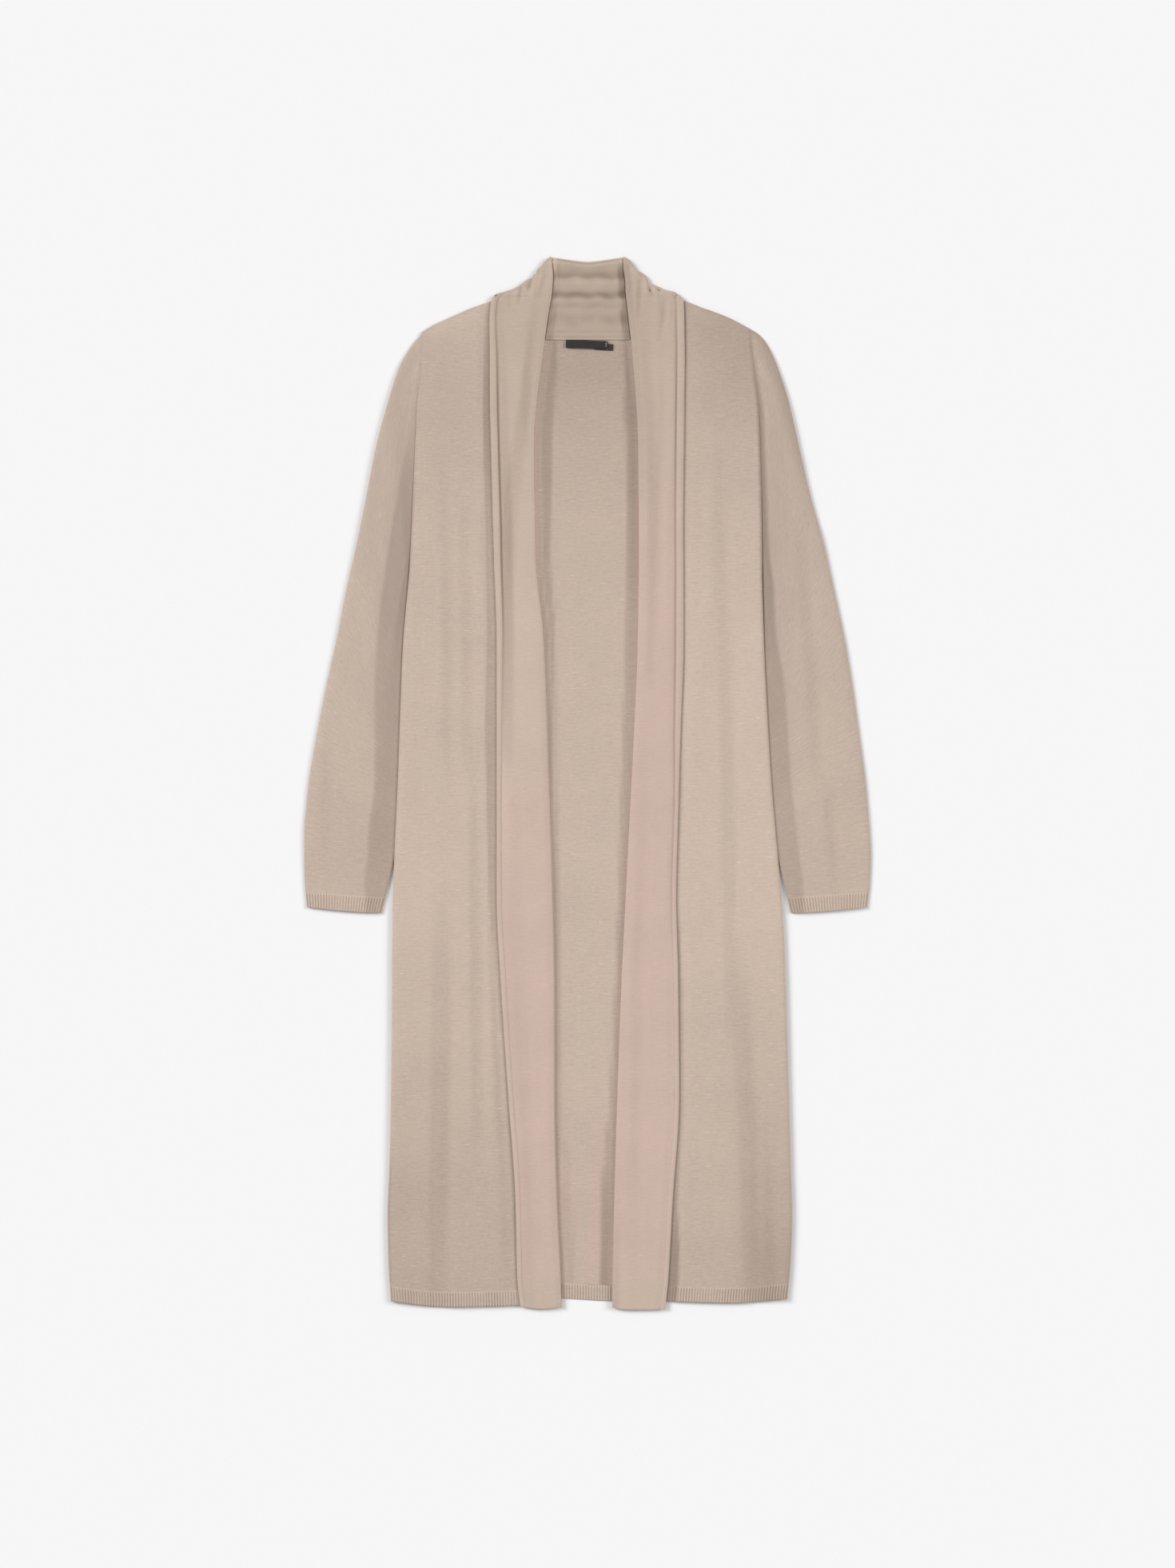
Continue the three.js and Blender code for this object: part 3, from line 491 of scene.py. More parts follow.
# Back panel, flat on the surface
back = {
    "length": 1080,
    "columnStep": 4,
    "rowStep": 5,
    "rumple": 0.25,
    "uneven": ((70, 160, 3), (26, 90, 8), 0.6),
    "rumpleTo": 60,  # distance from the centre line at which the rumple has faded out
    "rumpleFades": {"aside": 20, "belowTop": 30},
    "topEdge": table(
        "x y",
        (-187, 506),
        (-165, 517),
        (-147, 525.5),
        (-127, 534),
        (-106, 543),
        (-86, 551),
        (-75, 530),
        (-62, 506),
        (-50, 498.3),
        (50, 498.3),
        (62, 506),
        (75, 530),
        (86, 551),
        (106, 543),
        (127, 534.5),
        (147, 526),
        (165, 518.5),
        (183, 510),
    ),
    "hemLine": table("across y", (0, -577.5), (0.44, -580.5), (0.56, -583.2), (1, -577.5)),
    "ribsFrom": -31,
    "ribsTo": 28,
    "plainFrom": -225,  # beside the ribs the hem is plain, where the lapels cover it
    "plainTo": 228.5,
    "plainColumns": 36,
    "hemShade": 0.12,
    # Painted shade on the inside of the back: how much deeper in tone it is towards the neck, and a little
    # towards the hem
    "paintedFalloff": table("y shade", (499, 0), (497.5, 0.42), (467, 0.42), (440, 0.34), (422, 0.28), (380, 0.2),
                     (300, 0.1), (160, 0.02), (0, 0), (-330, 0), (-440, 0.06), (-560, 0.1)),
    # Width of the strip that lies in the lapels' painted shadow, how much deeper in tone that painted
    # shadow is, and how much painted light comes back right beside the roll
    "underRoll": table(
        "y left leftDeep leftGlow right rightDeep rightGlow",
        (498, 13, 0.28, 0.95, 9, 0.5, 0.5),
        (460, 18, 0.28, 0.95, 10, 0.5, 0.45),
        (413, 21, 0.38, 0.9, 14, 0.38, 0.12),
        (287, 19, 0.45, 0.85, 14, 0.38, 0.15),
        (150, 13, 0.42, 0.5, 14.5, 0.35, 0.25),
        (0, 8.5, 0.32, 0.4, 12, 0.35, 0.15),
        (-217, 7, 0.3, 0.3, 8, 0.35, 0),
        (-352, 7, 0.25, 0.25, 9, 0.35, 0),
        (-390, 8, 0.2, 0.2, 11, 0.33, 0),
        (-424, 17, 0.12, 0.2, 13, 0.36, 0.08),
        (-469, 16, 0.16, 0.2, 15, 0.5, 0.08),
        (-510, 16, 0.16, 0.2, 14.5, 0.57, 0.14),
        (-585, 15, 0.2, 0.2, 12.5, 0.65, 0.2),
    ),
    "growsOver": 8,  # distance from the fold over which that shade grows to its full depth
    "glowShare": 0.65,  # share of the roll's height over which the returned light fades in
    # Painted bounce light from the lapels: pink tone of the low part on both sides of its middle, and right
    # beside the lapels
    "blush": table("y left right", (-334, 0, 0), (-380, 0.1, 0.6), (-424, 0.7, 0.8), (-469, 1, 1),
                   (-514, 0.5, 1), (-580, 0.5, 0.9)),
    "paintedBounceMiddle": -6.3,
    "paintedBounceGrows": (2, 9),
    "rollPaintedBounce": 0.55,
    "rollPaintedBounceGrows": (9, 3),
}


# Painted shadow of the lapels' rolls on the back, with painted light right beside each roll
def underRollShade(x, y):
    shade = 0
    for side in outward:
        fromFold = bandAt(side, "fold", y) - np.abs(x)
        wide, deep, glow = (bySide(back["underRoll"], side, y, what) for what in ("", "Deep", "Glow"))
        grown = mix(0.1, 1, ease(fromFold, 0, back["growsOver"]))
        beside = deep * ease(fromFold, wide + 1.5, wide - 2) * grown
        roll = bandAt(side, "roll", y)
        beside = beside - glow * ease(roll - fromFold, 0, back["glowShare"] * roll)
        shade = shade + (x * outward[side] > 0) * beside
    return shade


# Painted pink bounce light from the lapels on the back
def paintedBounceOnBack(x, y):
    fromMiddle = x - back["paintedBounceMiddle"]
    low = np.where(fromMiddle < 0, bySide(back["blush"], "left", y), bySide(back["blush"], "right", y))
    blush = low * ease(np.abs(fromMiddle), *back["paintedBounceGrows"])
    for side in outward:
        fromFold = bandAt(side, "fold", y) - x * outward[side]
        blush = np.maximum(blush, back["rollPaintedBounce"] * ease(fromFold, *back["rollPaintedBounceGrows"]))
    return blush


# Distance from the nearer side of the back
def fromBackSides(x, y):
    return np.minimum(x - edgeX("left", y), edgeX("right", y) - x)


def makeBack():
    start, end = back["topEdge"]["x"][0], back["topEdge"]["x"][-1]
    across = stations(end - start, back["columnStep"])
    top = along(back["topEdge"], "x", "y", start + across * (end - start))
    bottom = ribTop(along(back["hemLine"], "across", "y", across))
    y = mix(top, bottom, stations(back["length"], back["rowStep"])[:, None])
    x = mix(edgeX("left", y), edgeX("right", y), across)
    fades = back["rumpleFades"]
    shown = ease(back["rumpleTo"] - np.abs(x), 0, fades["aside"]) * ease(top - y, 0, fades["belowTop"])
    rise = back["rumple"] * (1 + rumpled(x, y, *back["uneven"])) * shown
    upper, lower = roundRim(knit + rise, x * 0, np.minimum(fromBackSides(x, y), top - y))
    shade = along(back["paintedFalloff"], "y", "shade", y) + underRollShade(x, y)
    piece = layer("backPanel", x, y, upper, lower, bodyKnit, shade=shade, blush=paintedBounceOnBack(x, y))
    sewnIn(piece, "back")


# 1 on the ridge of a rib and 0 in a groove, at a place across a band
def ribWave(place):
    return (0.5 + 0.5 * np.cos(2 * math.pi * place / ribs["pitch"])) ** ribs["roundness"]


# Height of the ribs, and of the welt that links the band to the panel above
def ribHeight(place, fromTop):
    welt = ribs["weltRise"] * bell(fromTop, ribs["weltAt"], ribs["weltSpread"])
    return ribs["rise"] * ribWave(place) * ease(fromTop, *ribs["growFrom"]) + welt


# Painted shade in the grooves between ribs and painted light on their ridges, here more and there less
def ribShade(place, fromTop):
    wave = ribWave(place)
    clear = ribs["clear"] + ribs["clearVaries"] * unevenness(place, fromTop, *ribs["clearUneven"])
    contrast = ribs["grooveShade"] * (1 - wave) - ribs["ridgeLight"] * wave
    return contrast * clear * ease(fromTop, *ribs["growFrom"])


def bandRows():
    return stations(ribs["band"], ribs["rowStep"])[:, None]


# Heights of a ribbed hem's rows, from its seam down to its lower edge
def hemRows(bottom, down):
    return bottom + (ribs["band"] + seam - cloth["sewnGap"]) * (1 - down)


def makeBackHem():
    between = np.arange(back["ribsFrom"], back["ribsTo"], ribs["pitch"] / ribs["samples"])
    leftOf = np.linspace(back["plainFrom"], back["ribsFrom"] - 4, back["plainColumns"])
    rightOf = np.linspace(back["ribsTo"] + 4, back["plainTo"], back["plainColumns"])
    level = back["hemLine"]["y"][0]
    left, right = edgeX("left", level), edgeX("right", level)
    across = np.clip((np.concatenate([leftOf, between, rightOf]) - left) / (right - left), 0, 1)
    across = np.unique(np.concatenate([stations(right - left, 60), across]))
    down = bandRows()
    bottom = along(back["hemLine"], "across", "y", across)
    y = hemRows(bottom, down)
    x = mix(edgeX("left", y), edgeX("right", y), across)
    shown = ease(x - back["ribsFrom"], -1, 2) * ease(back["ribsTo"] - x, -1, 2)
    rise = ribHeight(x, ribs["band"] * down) * shown
    upper, lower = roundRim(knit + rise, x * 0, np.minimum(fromBackSides(x, y), y - bottom))
    shade = back["hemShade"] + ribShade(x, ribs["band"] * down) * shown
    piece = layer("backHemRib", x, y, upper, lower, ribKnit, shade=shade)
    sewnIn(piece, "back_hem")


# Shawl band: distances from the centre line to its free edge and to its inner fold, width of the
# rolled trim along the free edge, and height of the soft roll at the fold
bandColumns = "y free fold trim roll"
band = {
    "left": table(
        bandColumns,
        (591.5, 41.5, 40, 0, 5),
        (589.5, 45, 39.9, 0, 5.5),
        (584, 49.8, 39.6, 0, 7),
        (580.5, 52.4, 39.3, 0, 7.6),
        (577, 56.7, 39, 0, 8.3),
        (573.3, 57.8, 38.8, 0, 9),
        (571.5, 60.3, 38.8, 0, 9.3),
        (568, 62.6, 38.7, 0, 10),
        (565.2, 69, 38.8, 0, 10.3),
        (562, 72.4, 39, 0, 11),
        (558.9, 76.6, 39.2, 0, 11.6),
        (555.3, 83.8, 39.4, 0, 12),
        (553.3, 90.2, 39.6, 0, 12),
        (549.9, 101.2, 40, 0, 12),
        (548.1, 104.4, 40.2, 0, 12),
        (546, 106.8, 40.5, 7, 12),
        (541, 108.6, 41.4, 7, 12),
        (521, 110.3, 44.8, 7, 12),
        (480, 110, 50.5, 8, 12),
        (431, 109.8, 57, 8.5, 12),
        (386, 108.8, 60.4, 8.5, 11.5),
        (287, 106.2, 59.2, 8.5, 11),
        (251, 105.2, 58.4, 8, 10.5),
        (160, 102.2, 49.4, 7, 9),
        (-32, 102.2, 42.2, 5.5, 7),
        (-127, 102.2, 39.2, 5.5, 6.5),
        (-217, 98, 37.3, 6, 6),
        (-352, 89.1, 37, 5.5, 6),
        (-469, 81, 34.2, 5.5, 6),
        (-554, 79, 30, 5.5, 5.5),
        (-585, 75.6, 28.8, 5.5, 5),
    ),
    "right": table(
        bandColumns,
        (591.5, 41.5, 40, 0, 5),
        (589.5, 45, 40, 0, 5.5),
        (587.7, 47.7, 40, 0, 6),
        (584, 50.2, 40, 0, 7),
        (580.5, 52.2, 40.1, 0, 7.6),
        (576.9, 54.9, 40.3, 0, 8.3),
        (573.3, 61.9, 41, 0, 9),
        (569.7, 65.7, 41.6, 0, 9.7),
        (566.1, 67.6, 42.1, 0, 10.3),
        (562.7, 68.8, 42.4, 0, 11),
        (560, 75.2, 42.5, 0, 11.3),
        (556.8, 82.6, 42.6, 0, 12),
        (555.1, 85.5, 42.6, 0, 12),
        (551.7, 99, 42.7, 0, 12),
        (549.9, 101, 42.8, 0, 12),
        (546, 106.5, 43.2, 8, 12),
        (541, 108.3, 43.8, 8.5, 12),
        (521, 108.9, 46.2, 9, 12),
        (480, 109.4, 50.4, 9, 12),
        (431, 109, 54.5, 9, 12),
        (386, 108.6, 56.7, 9, 11.5),
        (287, 107.6, 57.6, 8.5, 11),
        (251, 107.8, 57.6, 8.5, 10.5),
        (160, 108, 56.5, 9, 9),
        (62, 104.9, 52.5, 7, 8),
        (-32, 102.2, 47.7, 4.8, 7),
        (-127, 99.8, 43, 5.2, 6.5),
        (-217, 102, 38.5, 5.5, 6),
        (-352, 103.1, 33.5, 5.5, 6),
        (-469, 95.9, 30, 5.5, 6.5),
        (-554, 90.9, 28.2, 5.5, 7),
        (-585, 87.3, 27.9, 5.5, 6.5),
    ),
}


def bandAt(side, column, y):
    return along(band[side], "y", column, y)


# Fronts, from the shoulder seam to the rib
front = {
    "width": 135,
    "length": 1110,
    "columnStep": 2.4,
    "rowStep": 3.6,
    "flat": {"left": (0.158, 1.125), "right": (0.155, 1.125)},
    "shoulder": table(
        "across left right",
        (0, 506.5, 510.5),
        (0.15, 515, 518),
        (0.3, 521.5, 524.5),
        (0.45, 528, 530),
        (0.6, 534.5, 535),
        (0.75, 540, 541),
        (0.88, 545, 545),
        (1, 550, 550),
    ),
    "hemLine": table("across left right", (0, -583.2, -580.5), (0.41, -589.5, -585), (1, -587.5, -582.8)),
    "hemShade": {"left": -0.08, "right": -0.03},
    # Inner edge, sewn to the band under the lapel: distance from the centre line
    "edge": table(
        "y left right",
        (555, 86, 86),
        (521, 94, 93.5),
        (480, 98, 97.5),
        (386, 98, 98),
        (251, 95, 97.5),
        (160, 92.5, 97),
        (62, 92, 95),
        (-32, 91.5, 92),
        (-127, 91, 90.5),
        (-217, 87.5, 91),
        (-352, 79, 91),
        (-469, 71, 86),
        (-585, 66, 77.5),
    ),
    "sideRoll": table(
        "inFromEdge armhole sideFold",
        (0, 0, 1.2),
        (2, 0.1, 2.6),
        (6, 0.6, 3.1),
        (22, 2.2, 2.6),
        (50, 2.2, 2),
    ),
    "rollGrows": (420, 280),
    "valley": 9,  # width of the low strip beside the trim
    "valleyEases": 7,
    "topLoft": 0.3,  # share of the loft that is left at the shoulder seam
    "topEases": 16,
    "turn": 1.7,  # how far in from the side the front turns down to the back
    "sideFoot": 2.5,  # height of the front's side where the sleeve lies against it
    "sewnFlush": (385, 435),  # above this the sleeve is sewn on flush with the front
    "folds": {
        "left": table(
            foldColumns,
            (330, -20, -160, -155, -155, 12, -1.3),
            (330, -20, -138, -134, -134, 11, -1.1),
            (-110, -620, -160, -163, -167, 17, -2.6),
            (60, -440, -124, -124, -121, 11, -1.7),
            (-60, -560, -108, -108, -96, 11, 1.6),
        ),
        "right": table(
            foldColumns,
            (330, -320, 152, 160, 165, 13, -1.9),
            (-180, -620, 174, 183, 192, 18, -2.4),
            (420, 120, 140, 138, 136, 14, 1.2),
            (-380, -620, 204, 206, 207, 12, -1.4),
        ),
    },
    "foldBoost": 1.4,
    "rumple": 0.4,
    "uneven": {"left": ((46, 210, 4), (17, 120, 6)), "right": ((46, 210, 9), (17, 120, 2))},
    # Width of the low strip beside the trim, and how much painted shade deepens the cloth's tone in it
    "hollow": table(
        "y left leftDeep right rightDeep",
        (550, 3, 0.1, 2, 0.35),
        (521, 5, 0.35, 2, 0.45),
        (422, 7.5, 0.55, 2, 0.2),
        (287, 8.5, 0.34, 2, 0.2),
        (152, 11, 0.3, 2, 0.25),
        (62, 12.6, 0.36, 2, 0.35),
        (-19, 11, 0.38, 4, 0.25),
        (-127, 8.5, 0.36, 3, 0.3),
        (-217, 5, 0.2, 4, 0.5),
        (-352, 3, 0.25, 4, 0.32),
        (-469, 3, 0.35, 6, 0.45),
        (-540, 3, 0.25, 11, 0.66),
        (-585, 3, 0.1, 12, 0.66),
    ),
    # Painted shade over the front by height: above 0 deeper in tone, below 0 painted light
    "paintedFalloff": table(
        "y left right",
        (560, 0.06, 0.46),
        (521, 0.06, 0.4),
        (470, 0.12, 0.3),
        (420, 0.15, 0.2),
        (380, 0.1, 0.1),
        (300, 0.02, 0.03),
        (240, 0, -0.06),
        (70, -0.04, -0.13),
        (-110, -0.09, -0.11),
        (-250, -0.02, -0.02),
        (-300, 0, 0.02),
        (-380, 0.12, 0.06),
        (-470, 0.26, 0.13),
        (-550, 0.3, 0.22),
        (-572, 0.31, 0.23),
        (-590, 0.37, 0.27),
    ),
    # The share of it beside the trim, how much more it is towards the side, and between which
    # distances from the centre line it grows: in the upper part of the front and in the lower part
    "upperShare": {"inner": 0.8, "left": 0.4, "right": 0.4, "grows": (110, 170)},
    "lowerShare": {"inner": 0.7, "left": 0.2, "right": 1.2, "grows": (150, 205)},
    "lowerFrom": (-250, -400),
    # Painted shade: how deep in tone the front's own edge is along the sleeve
    "sideShade": table("y left right", (500, 0, 0.15), (455, 0, 0.4), (425, 0, 0.65), (380, 0.1, 0.75),
                       (320, 0.25, 0.55), (215, 0.1, 0.3), (120, 0.05, 0.1), (-60, 0, 0), (-380, 0, 0),
                       (-470, 0.3, 0), (-580, 0.2, 0)),
    # painted shade in the valleys of the folds
    "valleyShade": 0.08,
}


def frontX(side, across, y):
    return mix(edgeX(side, y), outward[side] * bySide(front["edge"], side, y), across)


def frontRise(side, x, y, belowTop):
    inFromEdge = np.abs(edgeX(side, y) - x)
    rolls = (along(front["sideRoll"], "inFromEdge", kind, inFromEdge) for kind in ("armhole", "sideFold"))
    roll = mix(*rolls, ease(y, *front["rollGrows"]))
    toTrim = np.abs(x) - bandAt(side, "free", y)
    wide, eases = front["valley"], front["valleyEases"]
    valley = ease(toTrim, wide - eases, wide + eases)
    folds = front["foldBoost"] * foldRise(front["folds"][side], x, y)
    folds = folds + front["rumple"] * rumpled(x, y, *front["uneven"][side])
    loft = np.maximum(0, roll + folds * ease(inFromEdge, 0, 10))
    return loft * valley * mix(front["topLoft"], 1, ease(belowTop, 0, front["topEases"]))


# Upper and lower face of a front, with its side turned down towards the back
def frontFaces(side, across, y, top, bottom, rib=0.0):
    x = frontX(side, across, y)
    rise = frontRise(side, x, y, along(front["shoulder"], "across", side, across) - y)
    air = np.minimum(rise * cloth["airShare"], cloth["airMost"])
    upper, lower = foldedHeight + rise + rib, frontRest + air
    fromSide = np.abs(edgeX(side, y) - x)
    turned = np.maximum(rimFull(fromSide, front["turn"]), ease(y, *front["sewnFlush"]))
    foot = mix(frontRest + 0.2, front["sideFoot"], besideBody(y))
    upper = foot + (upper - foot) * turned
    lower = frontRest + (lower - frontRest) * turned
    upper, lower = roundRim(upper, lower, np.minimum(top - y, y - bottom))
    return x, upper, np.minimum(lower, upper - cloth["leastWall"])


def makeFront(side):
    across = stations(front["width"], front["columnStep"])
    top = along(front["shoulder"], "across", side, across)
    bottom = ribTop(along(front["hemLine"], "across", side, across))
    y = mix(top, bottom, stations(front["length"], front["rowStep"])[:, None])
    x, upper, lower = frontFaces(side, across, y, top, bottom - 1)
    piece = layer(side + "Front", x, y, upper, lower, bodyKnit, shade=frontShade(side, x, y))
    sewnIn(piece, "front_" + side)


# Painted shade and light on a front: beside the trim, by height, in the fold valleys and along the side
def frontShade(side, x, y):
    toTrim = np.abs(x) - bandAt(side, "free", y)
    wide, deep = (bySide(front["hollow"], side, y, what) for what in ("", "Deep"))
    beside = deep * ease(toTrim, wide + 1.5, wide - 1) * mix(0.7, 1, ease(toTrim, 0, 3))
    shares = (
        part["inner"] + part[side] * ease(np.abs(x), *part["grows"])
        for part in (front["upperShare"], front["lowerShare"])
    )
    fall = bySide(front["paintedFalloff"], side, y) * mix(*shares, ease(y, *front["lowerFrom"]))
    valleys = np.maximum(0, -foldRise(front["folds"][side], x, y)) * front["valleyShade"]
    fromSide = np.abs(edgeX(side, y) - x)
    return fall + beside + valleys + bySide(front["sideShade"], side, y) * ease(fromSide, 4.5, 1)


def makeFrontHem(side):
    level = front["hemLine"][side][2] + ribs["band"]
    wide = abs(frontX(side, 0, level) - frontX(side, 1, level))
    count = round(wide / ribs["pitch"]) * ribs["samples"]
    across = np.unique(np.concatenate([np.linspace(0, 1, count + 1), stations(wide, wide / 3)]))
    bottom = along(front["hemLine"], "across", side, across)
    down = bandRows()
    y = hemRows(bottom, down)
    # the ribs show beside the lapel and not under it
    clear = ease(np.abs(frontX(side, across, y)) - bandAt(side, "free", level), -1, 2)
    rib = ribHeight(across * wide, ribs["band"] * down) * clear
    x, upper, lower = frontFaces(side, across, y, bottom + ribs["band"] + 2, bottom, rib)
    shade = frontShade(side, x, y) + front["hemShade"][side]
    shade = shade + ribShade(across * wide, ribs["band"] * down) * clear
    piece = layer(side + "HemRib", x, y, upper, lower, ribKnit, shade=shade)
    sewnIn(piece, "front_hem_" + side)


# Lapels: a lower layer out to the seam, a soft roll at the inner fold, an upper layer out to the trim
lapel = {
    "top": 591.5,
    "rowStep": 3.2,
    "columnStep": 1.5,
    "underStep": 4,
    "upperWidth": 48,
    "underWidth": 35,
    "rollColumns": 18,
    "bottom": table(
        "across left right",
        (0, -589.8, -589.8),
        (0.1, -590.3, -591.6),
        (0.45, -591.9, -592.6),
        (0.7, -591.3, -592.6),
        (1, -588.8, -592),
    ),
    "bottomStarts": -512,
    "rollShare": 0.72,  # how full the roll at the fold is
    "scrunchStep": 1.0,  # step of the rows where the band is gathered at the shoulder
    "scrunchEnds": 540,
    # Painted shade in the thin ditch between lapel and trim: how much deeper in tone it is
    "paintedDitchShade": table("y left right", (546, 0.2, 0.2), (521, 0.25, 0.35), (422, 0.7, 0.6), (287, 0.8, 0.45),
                   (152, 0.25, 0.45), (62, 0.05, 0.4), (-19, 0, 0.3), (-127, 0, 0.25), (-217, 0, 0),
                   (-585, 0, 0)),
    # Painted light: how much lighter in tone the side of the roll is, and where round it that is and how
    # wide
    "rollPaintedLight": table("y left right", (591, 0.3, 0.1), (499, 0.5, 0.12), (422, 0.5, 0.08), (287, 0.4, 0.06),
                      (150, 0.25, 0.04), (0, 0.15, 0), (-217, 0.08, 0), (-585, 0.05, 0)),
    "liftAt": 1.9,
    "liftSpread": 0.8,
    # Painted shade: how much deeper in tone the lapel is just outside its fold
    "besideFoldShade": table("y left right", (591, 0, 0.1), (577, 0, 0.35), (550, 0, 0.34), (528, 0, 0.2),
                        (494, 0, 0.18), (422, 0, 0.22), (300, 0, 0.06), (180, 0.02, 0), (90, 0.12, 0),
                        (-100, 0.1, 0), (-430, 0.08, 0), (-550, 0.08, 0.15), (-590, 0.08, 0.18)),
    # Lower strip of the lapel beside the ditch: its width, and how much painted shade deepens its tone
    # (below 0, painted light)
    "besideDitchShade": table(
        "y left leftDeep right rightDeep",
        (546, 6, 0.05, 5, 0),
        (422, 11, 0.1, 6, 0.02),
        (287, 12, 0.3, 8, 0.05),
        (152, 12, 0.2, 8, 0.06),
        (62, 12, 0.16, 7, 0.04),
        (-19, 9, -0.08, 6, 0.03),
        (-127, 11, 0.02, 5, 0.02),
        (-217, 12, 0.07, 4, 0),
        (-585, 10, 0.07, 4, 0),
    ),
    "folds": {
        "left": table(
            foldColumns,
            (560, 60, -42, -84, -92, 13, -2.6),
            (60, -600, -88, -70, -58, 12, -0.9),
        ),
        "right": table(
            foldColumns,
            (575, 90, 56, 76.5, 70, 12, -2.2),
            (90, -600, 70, 58, 54, 12, -1.2),
            (470, 280, 84, 84, 82, 8, -0.9),
        ),
    },
    "creases": {
        "left": table(
            creaseColumns,
            (-75, 560, -76.5, 548, -78.5, 535, 1.8, -1.2),
            (-63.5, 568, -64.8, 560, -67.5, 551, 2.2, -1.4),
            (-96, 552, -97, 549, -97.5, 545, 2.5, -0.9),
            (-88, 553, -88, 542, -87, 528, 3.5, -0.5),
            (-70, 565, -71, 558, -72, 549, 2.6, 0.9),
            (-58, 572, -59, 560, -62, 545, 3, 0.8),
            (-98, 548, -97, 538, -95, 520, 4, 0.6),
            (-46, 582, -50, 562, -57, 538, 4.5, -0.9),
            (-58, 548, -68, 458, -70, 370, 8, -0.8),
        ),
        "right": table(
            creaseColumns,
            (59, 566, 58.5, 548, 57, 515, 4.2, -0.8),
            (69, 560, 70.5, 553, 73.5, 545, 2.2, -1.3),
            (57.5, 573, 60, 570.5, 63, 567, 1.8, -0.9),
            (78, 556, 80, 554, 82, 551, 1.8, -0.9),
            (96, 549.5, 97, 547.5, 98, 545, 1.8, -0.9),
            (85, 545, 85.5, 525, 81, 498, 4, -0.8),
            (75, 560, 78, 545, 79, 522, 3.6, 0.6),
            (66, 566, 66, 556, 66.5, 536, 3, 0.7),
            (92, 549, 93, 536, 92, 515, 3.6, 0.5),
        ),
    },
    "creaseBoost": 1.6,
    "rumple": 0.3,
    "uneven": {"left": ((30, 170, 5), (11, 70, 1)), "right": ((30, 170, 7), (11, 70, 1))},
    # Shares of the upper layer's width over which it comes down from the roll, folds and meets the trim
    "comesDown": (0, 0.9),
    "foldsGrow": (0, 0.15),
    "meetsTrim": (0.86, 1),
    # How pink the tone is, and how much painted shade deepens it
    "blush": table("y left right", (591, 0, 0.05), (430, 0.05, 0.3), (300, 0.2, 0.7), (60, 0.4, 1),
                   (-60, 0.7, 1), (-180, 0.9, 1), (-500, 1, 1), (-550, 0.8, 0.8), (-568, 0.1, 0.2),
                   (-590, 0, 0.1)),
    "paintedFalloff": table("y left right", (591, 0.2, 0.22), (521, 0.24, 0.2), (422, 0.2, 0.12),
                     (350, 0.12, 0.06), (250, 0.05, 0), (100, 0, 0), (-400, 0.02, 0.02),
                     (-540, 0.09, 0.06), (-575, 0.18, 0.14)),
    # painted shade in the valleys of the folds and in the creases
    "valleyShade": 0.06,
    "creaseShade": 0.22,
}
lapelEnd = -585


# Height of the upper layer
def upperHeight(side, away, y):
    fold, roll = bandAt(side, "fold", y), bandAt(side, "roll", y) * lapel["rollShare"]
    edge = bandAt(side, "free", y) - bandAt(side, "trim", y)
    t = np.clip((away - fold - roll / 2) / np.maximum(edge - fold - roll / 2, 0.2), 0, 1)
    settled = mix(frontRest + roll, lapelRest + knit + 0.8, ease(t, *lapel["comesDown"]))
    x = outward[side] * away
    folds = foldRise(lapel["folds"][side], x, y)
    folds = folds + lapel["creaseBoost"] * creaseRise(lapel["creases"][side], x, y)
    folds = folds + lapel["rumple"] * rumpled(x, y, *lapel["uneven"][side])
    folded = settled + folds * ease(t, *lapel["foldsGrow"])
    flat = lapelRest + knit
    return np.maximum(mix(folded, flat, ease(t, *lapel["meetsTrim"])), flat)


# How far the lower edge of lapel and trim bows below a straight line
def bottomBow(side, away, y):
    fold = bandAt(side, "fold", y)
    across = np.clip((away - fold) / (bandAt(side, "free", y) - fold), 0, 1)
    bow = along(lapel["bottom"], "across", side, across) - lapelEnd
    return bow * ease(y, lapel["bottomStarts"], lapelEnd)


# Heights of the lapel's rows, closer together where the band is gathered at the shoulder
def lapelRows():
    high, middle = lapel["top"], lapel["scrunchEnds"]
    gathered = mix(high, middle, stations(high - middle, lapel["scrunchStep"], (True, False)))
    rest = mix(middle, lapelEnd, stations(middle - lapelEnd, lapel["rowStep"], (False, True)))
    return np.concatenate([gathered, rest[1:]])[:, None]


